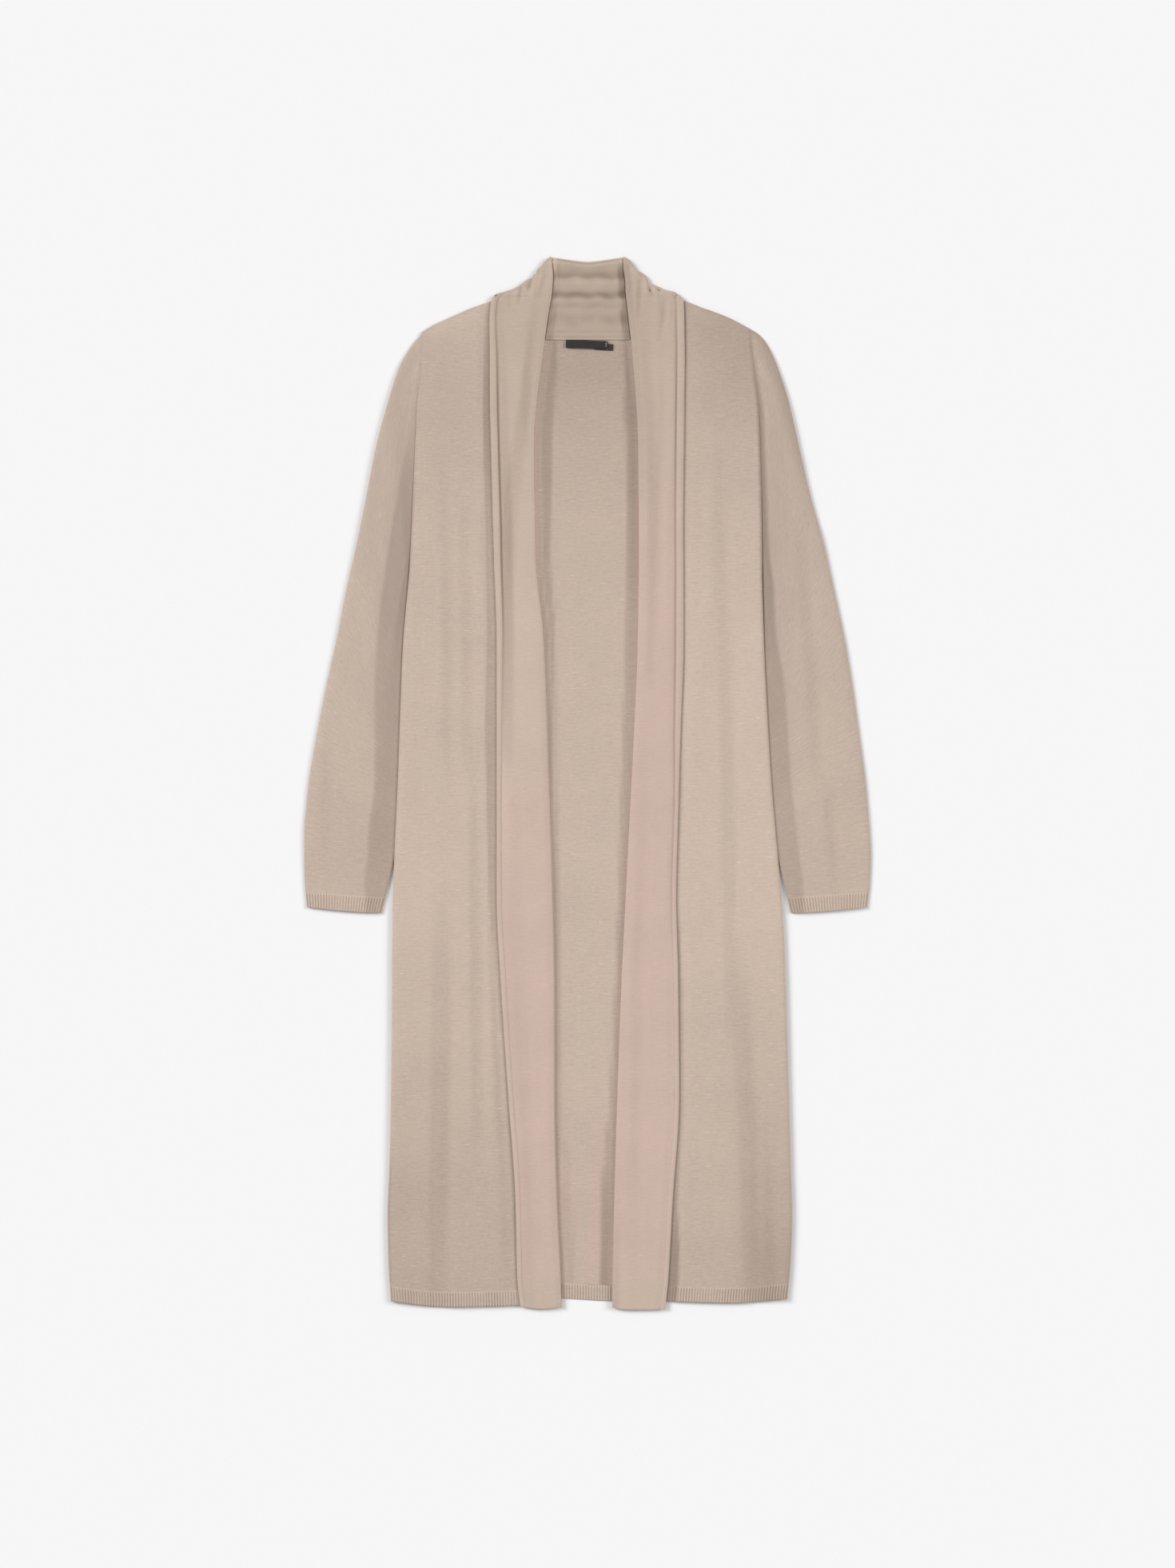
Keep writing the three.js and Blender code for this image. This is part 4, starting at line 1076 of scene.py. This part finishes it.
def makeLapel(side):
    y = lapelRows()
    free, fold = bandAt(side, "free", y), bandAt(side, "fold", y)
    radius = np.minimum(bandAt(side, "roll", y) * lapel["rollShare"], (free - fold) * 1.2) / 2
    edge = free - bandAt(side, "trim", y) - cloth["sewnGap"]
    sewn = np.minimum(bySide(front["edge"], side, y) - cloth["sideGap"], free - 0.4)
    start = np.maximum(sewn, fold + radius + 0.2)
    under = stations(lapel["underWidth"], lapel["underStep"], (True, False))
    lowerAway = mix(start, fold + radius, under)
    lowerZ = lowerAway * 0 + frontRest
    angle = np.linspace(0, math.pi, lapel["rollColumns"])[1:]
    inside = np.maximum(radius - knit, 0.25)
    rollAway = [fold + radius - r * np.sin(angle) for r in (radius, inside)]
    rollZ = [frontRest + radius - r * np.cos(angle) for r in (radius, inside)]
    upperEnd = np.maximum(edge, fold + radius + 0.4)
    over = stations(lapel["upperWidth"], lapel["columnStep"], (False, True))[1:]
    upperAway = mix(fold + radius, upperEnd, over)
    top = np.maximum(upperHeight(side, upperAway, y), frontRest + 2 * knit + seam)
    away = [np.concatenate([lowerAway, rollAway[k], upperAway], 1) for k in (0, 1)]
    z = [
        np.concatenate([lowerZ, rollZ[0], top], 1),
        np.concatenate([lowerZ + knit, rollZ[1], top - knit], 1),
    ]
    length = lengthAcross(np.stack([away[0], z[0]], -1))
    # below the shoulder the outer edge is sewn to the trim, so only above it does it round off
    outerRim = length[:, -1:] - length + 9 * ease(y, trim["top"] + 1, trim["top"] - 1)
    ends = np.minimum(lapel["top"] - y, y - lapelEnd)
    z = roundRim(*z, np.minimum(np.minimum(length, outerRim), ends))
    faces = [
        np.stack([outward[side] * a, y + bottomBow(side, a, y), height], -1) for a, height in zip(away, z)
    ]
    shade = lapelShade(side, away[0], y, length)
    rollStart = lowerAway.shape[1]
    # painted light on the side of the roll
    paintedLight = bySide(lapel["rollPaintedLight"], side, y) * bell(angle, lapel["liftAt"], lapel["liftSpread"])
    shade[:, rollStart : rollStart + len(angle)] -= paintedLight
    tones = {"blush": bySide(lapel["blush"], side, y), "shade": shade}
    piece = clothPiece(side + "Lapel", *faces, length, y + 0 * length, bandKnit, tones=tones)
    sewnIn(piece, "lapel_" + side)


# Painted shade on a lapel: by height, in valleys and creases, in the ditch and beside it, and outside the
# fold
def lapelShade(side, away, y, length):
    folds = foldRise(lapel["folds"][side], outward[side] * away, y)
    creases = creaseRise(lapel["creases"][side], outward[side] * away, y)
    valleys = np.maximum(0, -folds) * lapel["valleyShade"] + np.maximum(0, -creases) * lapel["creaseShade"]
    fromTrim = length[:, -1:] - length
    paintedDitchShade = bySide(lapel["paintedDitchShade"], side, y) * ease(fromTrim, 2.2, 1)
    wide, deep = (bySide(lapel["besideDitchShade"], side, y, what) for what in ("", "Deep"))
    beside = deep * ease(fromTrim, wide + 4, wide - 2)
    fromFold = away - bandAt(side, "fold", y)
    beside = beside + bySide(lapel["besideFoldShade"], side, y) * ease(fromFold, 10, 4)
    return bySide(lapel["paintedFalloff"], side, y) + valleys + paintedDitchShade + beside


# Rolled trim along the lapel's free edge, lying on the front
trim = {
    "rowStep": 3.2,
    "samples": 15,
    "crown": table("y rise", (546, 1.3), (300, 1.4), (60, 1.1), (-120, 0.9), (-585, 0.7)),
    "foot": 0.65,
    "top": 549.5,
    "roundness": 0.75,
    "uneven": 0.15,
    "blushShare": 0.8,  # shares of the lapel's pink tone and of its painted shade
    "paintedFalloffShare": 0.7,
    "round": 1.3,  # how much longer the cloth is across the rolled trim than the trim is wide
}


def makeTrim(side):
    y = mix(trim["top"], lapelEnd, stations(trim["top"] - lapelEnd, trim["rowStep"])[:, None])
    t = np.linspace(0, 1, trim["samples"])
    away = bandAt(side, "free", y) - bandAt(side, "trim", y) * (1 - t)
    uneven = 1 + trim["uneven"] * unevenness(y, y, 60, 90, 2)
    crown = along(trim["crown"], "y", "rise", y) * np.sin(math.pi * t) ** trim["roundness"] * uneven
    upper = lapelRest + knit / 2 + trim["foot"] + crown
    upper, lower = roundRim(upper, lapelRest + 0 * upper, np.minimum(trim["top"] - y, y - lapelEnd))
    lineY = y + bottomBow(side, away, y)
    faces = [np.stack([outward[side] * away, lineY, z], -1) for z in (upper, lower)]
    fromLapel = bandAt(side, "trim", y) * t
    # painted shade: a share of the lapel's, and that of the ditch beside the lapel
    shade = trim["paintedFalloffShare"] * bySide(lapel["paintedFalloff"], side, y)
    shade = shade + bySide(lapel["paintedDitchShade"], side, y) * ease(fromLapel, 1.3, 0.4)
    tones = {"blush": trim["blushShare"] * bySide(lapel["blush"], side, y), "shade": shade}
    piece = clothPiece(side + "Trim", *faces, away * trim["round"], lineY, bandKnit, tones=tones)
    sewnIn(piece, "trim_" + side)


# Sleeves: flattened tubes of sections that fan from the armhole to the cuff
sleeve = {
    "width": 150,
    "length": 650,
    "rowStep": 3.8,
    "columnStep": 2.4,
    "underStep": 8,
    "outline": table(
        "y left right",
        (511, -187, 183.4),
        (508.5, -187, 187.6),
        (506, -187, 191),
        (497, -194, 199.5),
        (487, -201, 205.5),
        (470, -211, 213),
        (431, -224, 226),
        (377, -238.5, 238.5),
        (323, -249, 251),
        (269, -260, 266),
        (215, -272, 278),
        (161, -282.6, 289.5),
        (107, -294.3, 298.5),
        (53, -305, 306),
        (0, -313.8, 313),
        (-28, -316.8, 315.5),
        (-55, -319, 317.6),
        (-82, -319, 319),
        (-109, -318.4, 318),
        (-140, -316, 315),
    ),
    # Each section runs from the outer fold to the inner one, at these heights
    "sections": table(
        "number outer inner",
        (0, 506, 247),
        (1, 488, 238),
        (2, 463, 226),
        (3, 430, 210),
        (4, 388, 190),
        (5, 340, 167),
        (6, 288, 141),
        (7, 234, 112),
        (8, 179, 81),
        (9, 124, 48),
        (10, 69, 14),
        (11, 16, -20),
        (12, -33, -55),
        (13, -79, -93),
        (14, -122, -128.7),
    ),
    "startsHigher": {"left": 0.5, "right": 4.6},  # how far above its first section the sleeve starts
    "leavesBody": -88,
    "flare": 0.238,
    "foldedEdge": 3,
    "tightBelow": 0.2,  # where the folded edge is less full than this, its two walls nearly touch
    "bodySide": 0.75,  # how full the sleeve is where it lies against the body
    # Share of the width over which the top corner turns into the armhole seam, and how sharply
    "cornerShare": 0.15,
    "cornerTurn": 30,
    "loftNumbers": (0, 3),  # sections between which the loft grows, and those where it sinks to the cuff
    "cuffNumbers": (12.4, 14),
    "loft": table("fromOuter rise", (0, 0), (4, 1.8), (12, 3), (40, 3.6), (90, 3.6)),
    # Width of the slope that goes down to the body's side
    "slope": table(
        "y left right",
        (506, 4, 4),
        (413, 7, 5),
        (332, 18, 10),
        (260, 28, 13),
        (180, 33, 18),
        (85, 32, 26),
        (0, 29, 28),
        (-73, 31, 28),
        (-140, 16, 15),
    ),
    "folds": {
        "left": table(
            foldColumns,
            (470, 120, -205, -225, -248, 14, 0.9),
            (60, -130, -290, -292, -290, 12, -0.9),
        ),
        "right": table(
            foldColumns,
            (300, -20, 238, 252, 262, 12, -1.8),
            (10, -140, 270, 276, 280, 11, -1.8),
        ),
    },
    "rumple": 0.35,
    "uneven": {"left": ((34, 120, 3), (14, 50, 4)), "right": ((34, 120, 8), (14, 50, 4))},
    # Width of the low strip beside the body, and how much painted shade deepens the cloth's tone in it
    "hollow": table(
        "y left leftDeep right rightDeep",
        (505, 1, 0, 1.5, 0.1),
        (470, 2, 0.04, 2, 0.35),
        (413, 5, 0.16, 4, 0.55),
        (332, 16, 0.34, 5, 0.62),
        (260, 25, 0.34, 7.5, 0.6),
        (215, 28, 0.34, 12, 0.5),
        (175, 29, 0.34, 13, 0.45),
        (107, 29.5, 0.34, 21, 0.38),
        (0, 26, 0.36, 22.5, 0.36),
        (-59, 30, 0.36, 23.5, 0.34),
        (-90, 30, 0.34, 24, 0.34),
        (-146, 18, 0.32, 15, 0.34),
    ),
    # Painted shade on the sleeve by height
    "paintedFalloff": table("y left right", (510, 0.06, 0.28), (470, 0.1, 0.22), (400, 0.06, 0.12),
                     (250, 0.03, 0.07), (0, 0.06, 0.06), (-60, 0.08, 0.04), (-146, 0.02, 0.06)),
    # Painted shade: how deep in tone the sleeve is towards its outer fold, and over what width
    "outerShade": table("y left right", (505, 0.02, 0.3), (386, 0.03, 0.3), (320, 0.04, 0.12), (0, 0, 0.02),
                        (-146, 0.08, 0)),
    "outerWidth": 16,
    # painted shade in the valleys of the folds
    "valleyShade": 0.06,
}


# 1 where the sleeve lies against the body, and 0 below that
def besideBody(y):
    return ease(y, sleeve["leavesBody"] - 6, sleeve["leavesBody"] + 10)


def sleeveInnerX(side, y):
    level = np.maximum(y, sleeve["leavesBody"])
    clear = cloth["sewnGap"] + sleeve["flare"] * np.maximum(0, sleeve["leavesBody"] - y)
    return edgeX(side, level) + outward[side] * clear


# Faces of a flattened tube whose sections have these outer and inner ends. The first shares go over
# the top from the outer fold, and the rest come back underneath.
def tubeFaces(side, outerY, innerY, shares, upper, loft, bow=0.0, rib=0.0, armhole=0.0):
    outerY, innerY = outerY[:, None], innerY[:, None]
    fromX, toX = bySide(sleeve["outline"], side, outerY), sleeveInnerX(side, innerY)
    wide = np.hypot(toX - fromX, innerY - outerY)

    def place(share):
        x, y = mix(fromX, toX, share), mix(outerY, innerY, share)
        y = y + bow * 4 * share * (1 - share)
        # the first section lies along the armhole seam
        seamX = edgeX(side, y) + outward[side] * cloth["sewnGap"]
        corner = 1 - ease(share, 0, sleeve["cornerShare"])
        return mix(x, seamX, armhole ** (1 + sleeve["cornerTurn"] * corner)), y

    off = shares * wide
    near = np.minimum(off, wide - off)
    turned = np.sqrt(1 - (1 - np.clip(near / sleeve["foldedEdge"], 0, 1)) ** 2)
    x, y = place(shares)
    against = besideBody(y) * (off > wide / 2) * upper
    turned = np.maximum(turned, mix(sleeve["bodySide"], 1, ease(y, *front["sewnFlush"])) * against)
    down = ease(wide - off, 0, bySide(sleeve["slope"], side, y))
    folds = foldRise(sleeve["folds"][side], x, y)
    folds = folds + sleeve["rumple"] * rumpled(x, y, *sleeve["uneven"][side])
    rise = np.maximum(0, (along(sleeve["loft"], "fromOuter", "rise", off) + folds) * loft * down)
    middle = foldedHeight / 2
    outerZ = np.where(upper, middle + (foldedHeight + rise - middle) * turned, middle - middle * turned)
    outerZ = outerZ + np.where(upper, rib, 0)
    inset = np.clip(off, knit + 0.5 * turned, wide - knit - 0.5 * turned)
    tight = turned < sleeve["tightBelow"]
    air = np.where(tight, 0, np.minimum(rise * cloth["airShare"], cloth["airMost"]))
    closing = np.where(tight, seam / 2, 0)
    innerZ = np.where(upper, frontRest + air - closing, knit + closing)
    insideX, insideY = place(inset / wide)
    outer = np.stack([x, y, outerZ], -1)
    return outer, np.stack([insideX, insideY, innerZ], -1), off


# Places round a tube: those over its top, then those back underneath, and which ones are on top
def tubeShares(over, wide, underStep):
    under = stations(wide, underStep)[1:-1][::-1]
    upper = np.concatenate([over * 0 + 1, under * 0]) > 0
    return np.concatenate([over, under]), upper


def makeSleeve(side):
    number = sleeve["sections"]["number"][-1] * stations(sleeve["length"], sleeve["rowStep"])
    outerY = along(sleeve["sections"], "number", "outer", number)
    outerY = outerY + sleeve["startsHigher"][side] * np.clip(1 - number, 0, 1) ** 2
    innerY = along(sleeve["sections"], "number", "inner", number)
    over = stations(sleeve["width"], sleeve["columnStep"])
    shares, upper = tubeShares(over, sleeve["width"], sleeve["underStep"])
    atCuff = cuff["loft"] / sleeve["loft"]["rise"][-1]
    loft = ease(number, *sleeve["loftNumbers"]) * mix(1, atCuff, ease(number, *sleeve["cuffNumbers"]))
    armhole = np.clip(1 - number, 0, 1)[:, None]
    outer, inner, off = tubeFaces(side, outerY, innerY, shares, upper, loft[:, None], armhole=armhole)
    middle = outer.mean(1)
    travelled = np.concatenate([[0], np.cumsum(np.linalg.norm(np.diff(middle, axis=0), axis=1))])
    u = np.where(upper, off, -off)
    v = -travelled[:, None] + 0 * off
    tones = {"shade": sleeveShade(side, outer, upper)}
    piece = clothPiece(side + "Sleeve", outer, inner, u, v, bodyKnit, ringed=True, tones=tones)
    sewnIn(piece, "sleeve_" + side)


# Painted shade on the sleeve's top: beside the body, towards the outer fold, in fold valleys and by height
def sleeveShade(side, outer, upper):
    x, y = outer[..., 0], outer[..., 1]
    fromBody = np.abs(x) - np.abs(sleeveInnerX(side, y))
    wide, deep = (bySide(sleeve["hollow"], side, y, what) for what in ("", "Deep"))
    beside = deep * ease(fromBody, wide + 3, wide - 3)
    fromOuter = np.abs(bySide(sleeve["outline"], side, y)) - np.abs(x)
    outerSide = bySide(sleeve["outerShade"], side, y) * ease(fromOuter, sleeve["outerWidth"], 0)
    valleys = np.maximum(0, -foldRise(sleeve["folds"][side], x, y)) * sleeve["valleyShade"]
    return (beside + outerSide + valleys + bySide(sleeve["paintedFalloff"], side, y)) * upper


cuff = {
    "outer": -139.5,
    "middle": -144,
    "inner": -146.2,
    "loft": 1.2,
    "width": 88,
    "underStep": 5,
}


def makeCuff(side):
    topOuter, topInner = (sleeve["sections"][c][-1] - cloth["sewnGap"] for c in ("outer", "inner"))
    t = bandRows()[:, 0]
    outerY, innerY = mix(topOuter, cuff["outer"], t), mix(topInner, cuff["inner"], t)
    bow = (cuff["middle"] - (cuff["outer"] + cuff["inner"]) / 2) * t[:, None]
    count = round(cuff["width"] / ribs["pitch"]) * ribs["samples"]
    over = np.unique(np.concatenate([np.linspace(0, 1, count + 1), stations(cuff["width"], 30)]))
    shares, upper = tubeShares(over, cuff["width"], cuff["underStep"])
    rib = ribHeight(shares * cuff["width"], ribs["band"] * t[:, None])
    rib = rib * ease(np.minimum(shares, 1 - shares) * cuff["width"], 1, 3)
    loft = cuff["loft"] / sleeve["loft"]["rise"][-1]
    outer, inner, off = tubeFaces(side, outerY, innerY, shares, upper, loft, bow, rib)
    u = np.where(upper, off, -off)
    v = outer[..., 1]
    shade = sleeveShade(side, outer, upper) + ribShade(shares * cuff["width"], ribs["band"] * t[:, None])
    piece = clothPiece(side + "Cuff", outer, inner, u, v, ribKnit, ringed=True, tones={"shade": shade})
    sewnIn(piece, "cuff_" + side)


# Band at the back neck: the turned-down half lies under the half that shows
collar = {
    "seamX": -4.5,  # the two halves meet here
    "reach": 38.5,  # about where a half ends, under the lapel's fold
    "foldX": 39,
    "flat": {"left": (0.04, 0.178), "right": (0.05, 0.178)},
    "stand": 93,
    # How much lower the top edge is in the middle than at this distance from it
    "dip": 5.5,
    "half": 40,
    "dipShape": 1.3,
    "neckSeam": 498.6,
    "fallEnd": 507,  # lower end of the half that is turned down
    "fallHigh": 80,
    "fallStep": 5,
    "shownHigh": 90,
    "rollColumns": 13,
    "rollSlack": 0.5,  # how much rounder the top roll is than two walls pressed together
    "rollEases": 4,
    "sewnRise": 0.6,  # height over the back at the neck seam
    "sewnEases": 6,
    "rumple": 0.25,
    "uneven": (18, 14, 5),
    "waves": table(
        "y rise",
        (598, 1.8),
        (583, 1.9),
        (574, 1.6),
        (569, 1.1),
        (560, 2.4),
        (554, 2.2),
        (548, 1.0),
        (541, 2.3),
        (535.5, 1.8),
        (529, 2),
        (520, 1.5),
        (509, 1.7),
        (505, 1.0),
        (498.6, 0.5),
    ),
    # Painted shade by height, deepest in the two soft creases; below 0 it is painted light along the neck
    # seam
    "tone": table("y shade", (592, 0.14), (581, 0.28), (574, 0.5), (570, 0.62), (566, 0.3), (561, 0.18),
                  (556, 0.24), (552, 0.44), (549, 0.78), (547, 0.74), (543.5, 0.36), (540, 0.24),
                  (535.5, 0.33), (532, 0.26), (528.3, 0.26), (521, 0.37), (517, 0.32), (513, 0.22),
                  (507, 0.16), (504.5, 0), (503, -0.13), (501.5, -0.13), (500, -0.22), (498, -0.22)),
    # How far the creases' painted shade wanders, how much its depth varies, and the heights over which both
    # begin
    "wander": 2.2,
    "wanderUneven": (34, 300, 2),
    "varies": 0.34,
    "variesUneven": (24, 22, 6),
    "variesFrom": (502, 512),
    "glow": {"left": 0.55, "right": 0.3},  # painted light that comes back right beside the lapels' folds
    # Width of the painted shadow beside each lapel's fold, and how much deeper in tone it is
    "sides": table(
        "y left leftDeep right rightDeep",
        (590, 3, 0, 3, 0),
        (580, 8, 0.25, 6, 0.6),
        (564, 6.5, 0.3, 7, 0.75),
        (551, 6, 0.25, 7, 0.7),
        (540, 5, 0.25, 5, 0.4),
        (525, 9, 0.25, 9, 0.6),
        (499, 9, 0.3, 7, 0.5),
    ),
    "columnStep": 2.2,
    "rowStep": 1.0,
}


def makeCollar(side):
    radius = (knit * 2 + seam) / 2 + collar["rollSlack"]
    limit = abs(outward[side] * collar["reach"] - collar["seamX"])
    across = stations(limit, collar["columnStep"])[:, None]
    guess = mix(collar["seamX"], outward[side] * collar["foldX"], across)
    dip = collar["dip"] * (1 - (np.abs(guess) / collar["half"]) ** collar["dipShape"])
    top = collar["neckSeam"] + collar["stand"] - dip
    under = stations(collar["fallHigh"], collar["fallStep"], (True, False))
    lowerY = mix(collar["fallEnd"], top - radius, under)
    angle = np.linspace(0, math.pi, collar["rollColumns"])[1:]
    rollY = [top - radius + r * np.sin(angle) for r in (radius, radius - knit)]
    rollZ = [radius - r * np.cos(angle) + 0 * top for r in (radius, radius - knit)]
    over = stations(collar["shownHigh"], collar["rowStep"], (False, True))[1:]
    shown = mix(top - radius, collar["neckSeam"], over)
    rise = along(collar["waves"], "y", "rise", shown)
    rise = rise + collar["rumple"] * unevenness(guess, shown, *collar["uneven"])
    z = foldedHeight + rise * ease(top - radius - shown, 0, collar["rollEases"])
    z = mix(knit + collar["sewnRise"], z, ease(shown - collar["neckSeam"], 0, collar["sewnEases"]))
    y = [np.concatenate([lowerY, rollY[k], shown], 1) for k in (0, 1)]
    heights = [
        np.concatenate([0 * lowerY, rollZ[0], z], 1),
        np.concatenate([0 * lowerY + knit, rollZ[1], z - knit], 1),
    ]
    length = lengthAcross(np.stack([y[0], heights[0]], -1))
    heights = roundRim(*heights, np.minimum(length, (1 - across) * limit))
    faces = []
    for k in (0, 1):
        end = outward[side] * (bandAt(side, "fold", y[k]) - seam)
        faces.append(np.stack([mix(collar["seamX"], end, across), y[k], heights[k]], -1))
    x, level = faces[0][..., 0], faces[0][..., 1]
    tones = {"shade": collarShade(side, x, level)}
    piece = clothPiece(side + "Collar", *faces, length, x, collarKnit, tones=tones)
    sewnIn(piece, "collar_" + side)


# Painted shade and light on the collar: in its creases, at the neck seam and beside the lapels' folds
def collarShade(side, x, y):
    shown = ease(y, *collar["variesFrom"])
    wander = collar["wander"] * unevenness(x, y, *collar["wanderUneven"]) * shown
    crease = along(collar["tone"], "y", "shade", y + wander)
    crease = crease * (1 + collar["varies"] * unevenness(x, y, *collar["variesUneven"]) * shown)
    wide, deep = (bySide(collar["sides"], side, y, what) for what in ("", "Deep"))
    fromFold = bandAt(side, "fold", y) - np.abs(x)
    beside = deep * ease(fromFold, wide + 2, wide - 2) - collar["glow"][side] * ease(fromFold, 7, 2)
    return crease + beside * (x * outward[side] > 0)


# Woven label at the back neck, bare, and the small size tab behind it: strips folded at the bottom
labels = {
    "neckLabel": {
        "node": "neck_label", "slot": "label", "x": -0.9, "y": 493.2, "wide": 46.8, "high": 9,
        "thick": 1, "tilt": -0.03, "rest": knit + seam + 0.9 + seam, "flat": (0.047, 0.0185),
        "threadIn": 1.4,
    },
    "sizeTab": {
        "node": "size_tab", "slot": "size_tab", "x": 18.5, "y": 490.3, "wide": 20.7, "high": 7.2,
        "thick": 0.9, "tilt": -0.06, "rest": knit + seam, "flat": (0.0207, 0.0148),
        "threadIn": 6.5,
    },
}
# The light threads that hold a label's right end
holding = {"halfWidth": 0.5, "pitch": 2.2, "above": -0.2, "reach": 7}


def makeLabel(name, size, material):
    across = stations(size["wide"], tape["columnStep"])[:, None]
    radius = size["thick"] / 2
    low, high = -size["high"] / 2 + radius, size["high"] / 2
    under = np.linspace(high, low, tape["rows"])
    angle = np.linspace(0, math.pi, tape["foldRows"])[1:-1]
    x = (across - 0.5) * size["wide"]
    swell = np.maximum(tape["swell"] * np.cos(x / size["wide"] * 2 * math.pi), 0)
    faces = []
    for r in (radius, radius - tape["thickness"]):
        y = np.concatenate([under, low - r * np.sin(angle), under[::-1]]) + 0 * x
        z = np.concatenate([under * 0 + radius - r, radius - r * np.cos(angle), under * 0 + radius + r])
        z = z + size["rest"] + swell * (z > radius)
        turnedX = size["x"] + x * math.cos(size["tilt"]) - y * math.sin(size["tilt"])
        turnedY = size["y"] + x * math.sin(size["tilt"]) + y * math.cos(size["tilt"])
        faces.append(np.stack([turnedX, turnedY, z], -1))
    length = lengthAcross(faces[0])
    # the threads are painted where the tone is 1
    fromTop = length[:, -1:] - length
    held = np.abs(size["wide"] / 2 - x - size["threadIn"]) < holding["halfWidth"]
    held = held * (np.sin(fromTop * 2 * math.pi / holding["pitch"]) > holding["above"])
    tones = {"blush": held * (fromTop < holding["reach"]) * 1.0}
    piece = clothPiece(name, *faces, x + 0 * length, length, material, tones=tones)
    sewnIn(piece, size["node"])


makeBack()
makeBackHem()
print("back and its hem made")
for side in outward:
    makeFront(side)
    makeFrontHem(side)
    makeLapel(side)
    makeTrim(side)
    print(side, "front, hem, lapel and trim made")
    makeSleeve(side)
    makeCuff(side)
    print(side, "sleeve and cuff made")
for side in outward:
    makeCollar(side)
for name, size in labels.items():
    makeLabel(name, size, labelTape if name == "neckLabel" else sizeTape)
print("collar and labels made")

# Studio: a plain pale floor, two soft lights from the upper left and the right, light all round
studio = {
    "floorSize": 40,
    "floorColour": (0.803, 0.795, 0.799, 1),
    "suns": {
        "leftLight": {"from": (-0.80, 0.42), "elevation": 34, "share": 0.36, "softness": 26},
        "rightLight": {"from": (0.90, 0.25), "elevation": 34, "share": 0.24, "softness": 26},
    },
    "aroundShare": 0.40,
}


def makeFloor():
    half = studio["floorSize"] / 2
    mesh = bpy.data.meshes.new("floor")
    corners = [(-half, -half, 0), (half, -half, 0), (half, half, 0), (-half, half, 0)]
    mesh.from_pydata(corners, [], [(0, 1, 2, 3)])
    n = Nodes("paleFloor")
    n.shader.inputs["Base Color"].default_value = studio["floorColour"]
    n.shader.inputs["Roughness"].default_value = 0.9
    n.shader.inputs["Specular IOR Level"].default_value = 0.1
    mesh.materials.append(n.material)
    floor = bpy.data.objects.new("floor", mesh)
    bpy.context.scene.collection.objects.link(floor)


def makeLights():
    whole = floorLook["seen"] / floorLook["albedo"]
    for name, sun in studio["suns"].items():
        light = bpy.data.lights.new(name, "SUN")
        rise = math.radians(sun["elevation"])
        light.energy = sun["share"] * whole * math.pi / math.sin(rise)
        light.angle = math.radians(sun["softness"])
        lamp = bpy.data.objects.new(name, light)
        x, y = sun["from"]
        lamp.rotation_euler = (math.pi / 2 - rise, 0, math.atan2(x, -y))
        bpy.context.scene.collection.objects.link(lamp)
    world = bpy.data.worlds.new("studio")
    world.use_nodes = True
    around = world.node_tree.nodes["Background"]
    around.inputs[0].default_value = (1, 1, 1, 1)
    around.inputs[1].default_value = studio["aroundShare"] * whole
    bpy.context.scene.world = world


# Camera straight above, framed as the photograph is: 1470 by 1961 pixels at 0.9 mm a pixel
photo = {"wide": 1470, "high": 1961, "pixel": 0.9, "middleX": 0.0, "middleY": -1.35, "height": 5.0}


def makeCamera():
    camera = bpy.data.cameras.new("camera")
    camera.sensor_width = 36
    camera.lens = camera.sensor_width * photo["height"] / (photo["high"] * photo["pixel"] * metre)
    camera.clip_end = 100
    eye = bpy.data.objects.new("camera", camera)
    eye.location = (photo["middleX"] * metre, photo["middleY"] * metre, photo["height"])
    bpy.context.scene.collection.objects.link(eye)
    bpy.context.scene.camera = eye


makeFloor()
makeLights()
makeCamera()
bpy.context.scene.view_settings.view_transform = "Standard"
bpy.context.scene.view_settings.look = "None"
print("floor, lights and camera made")
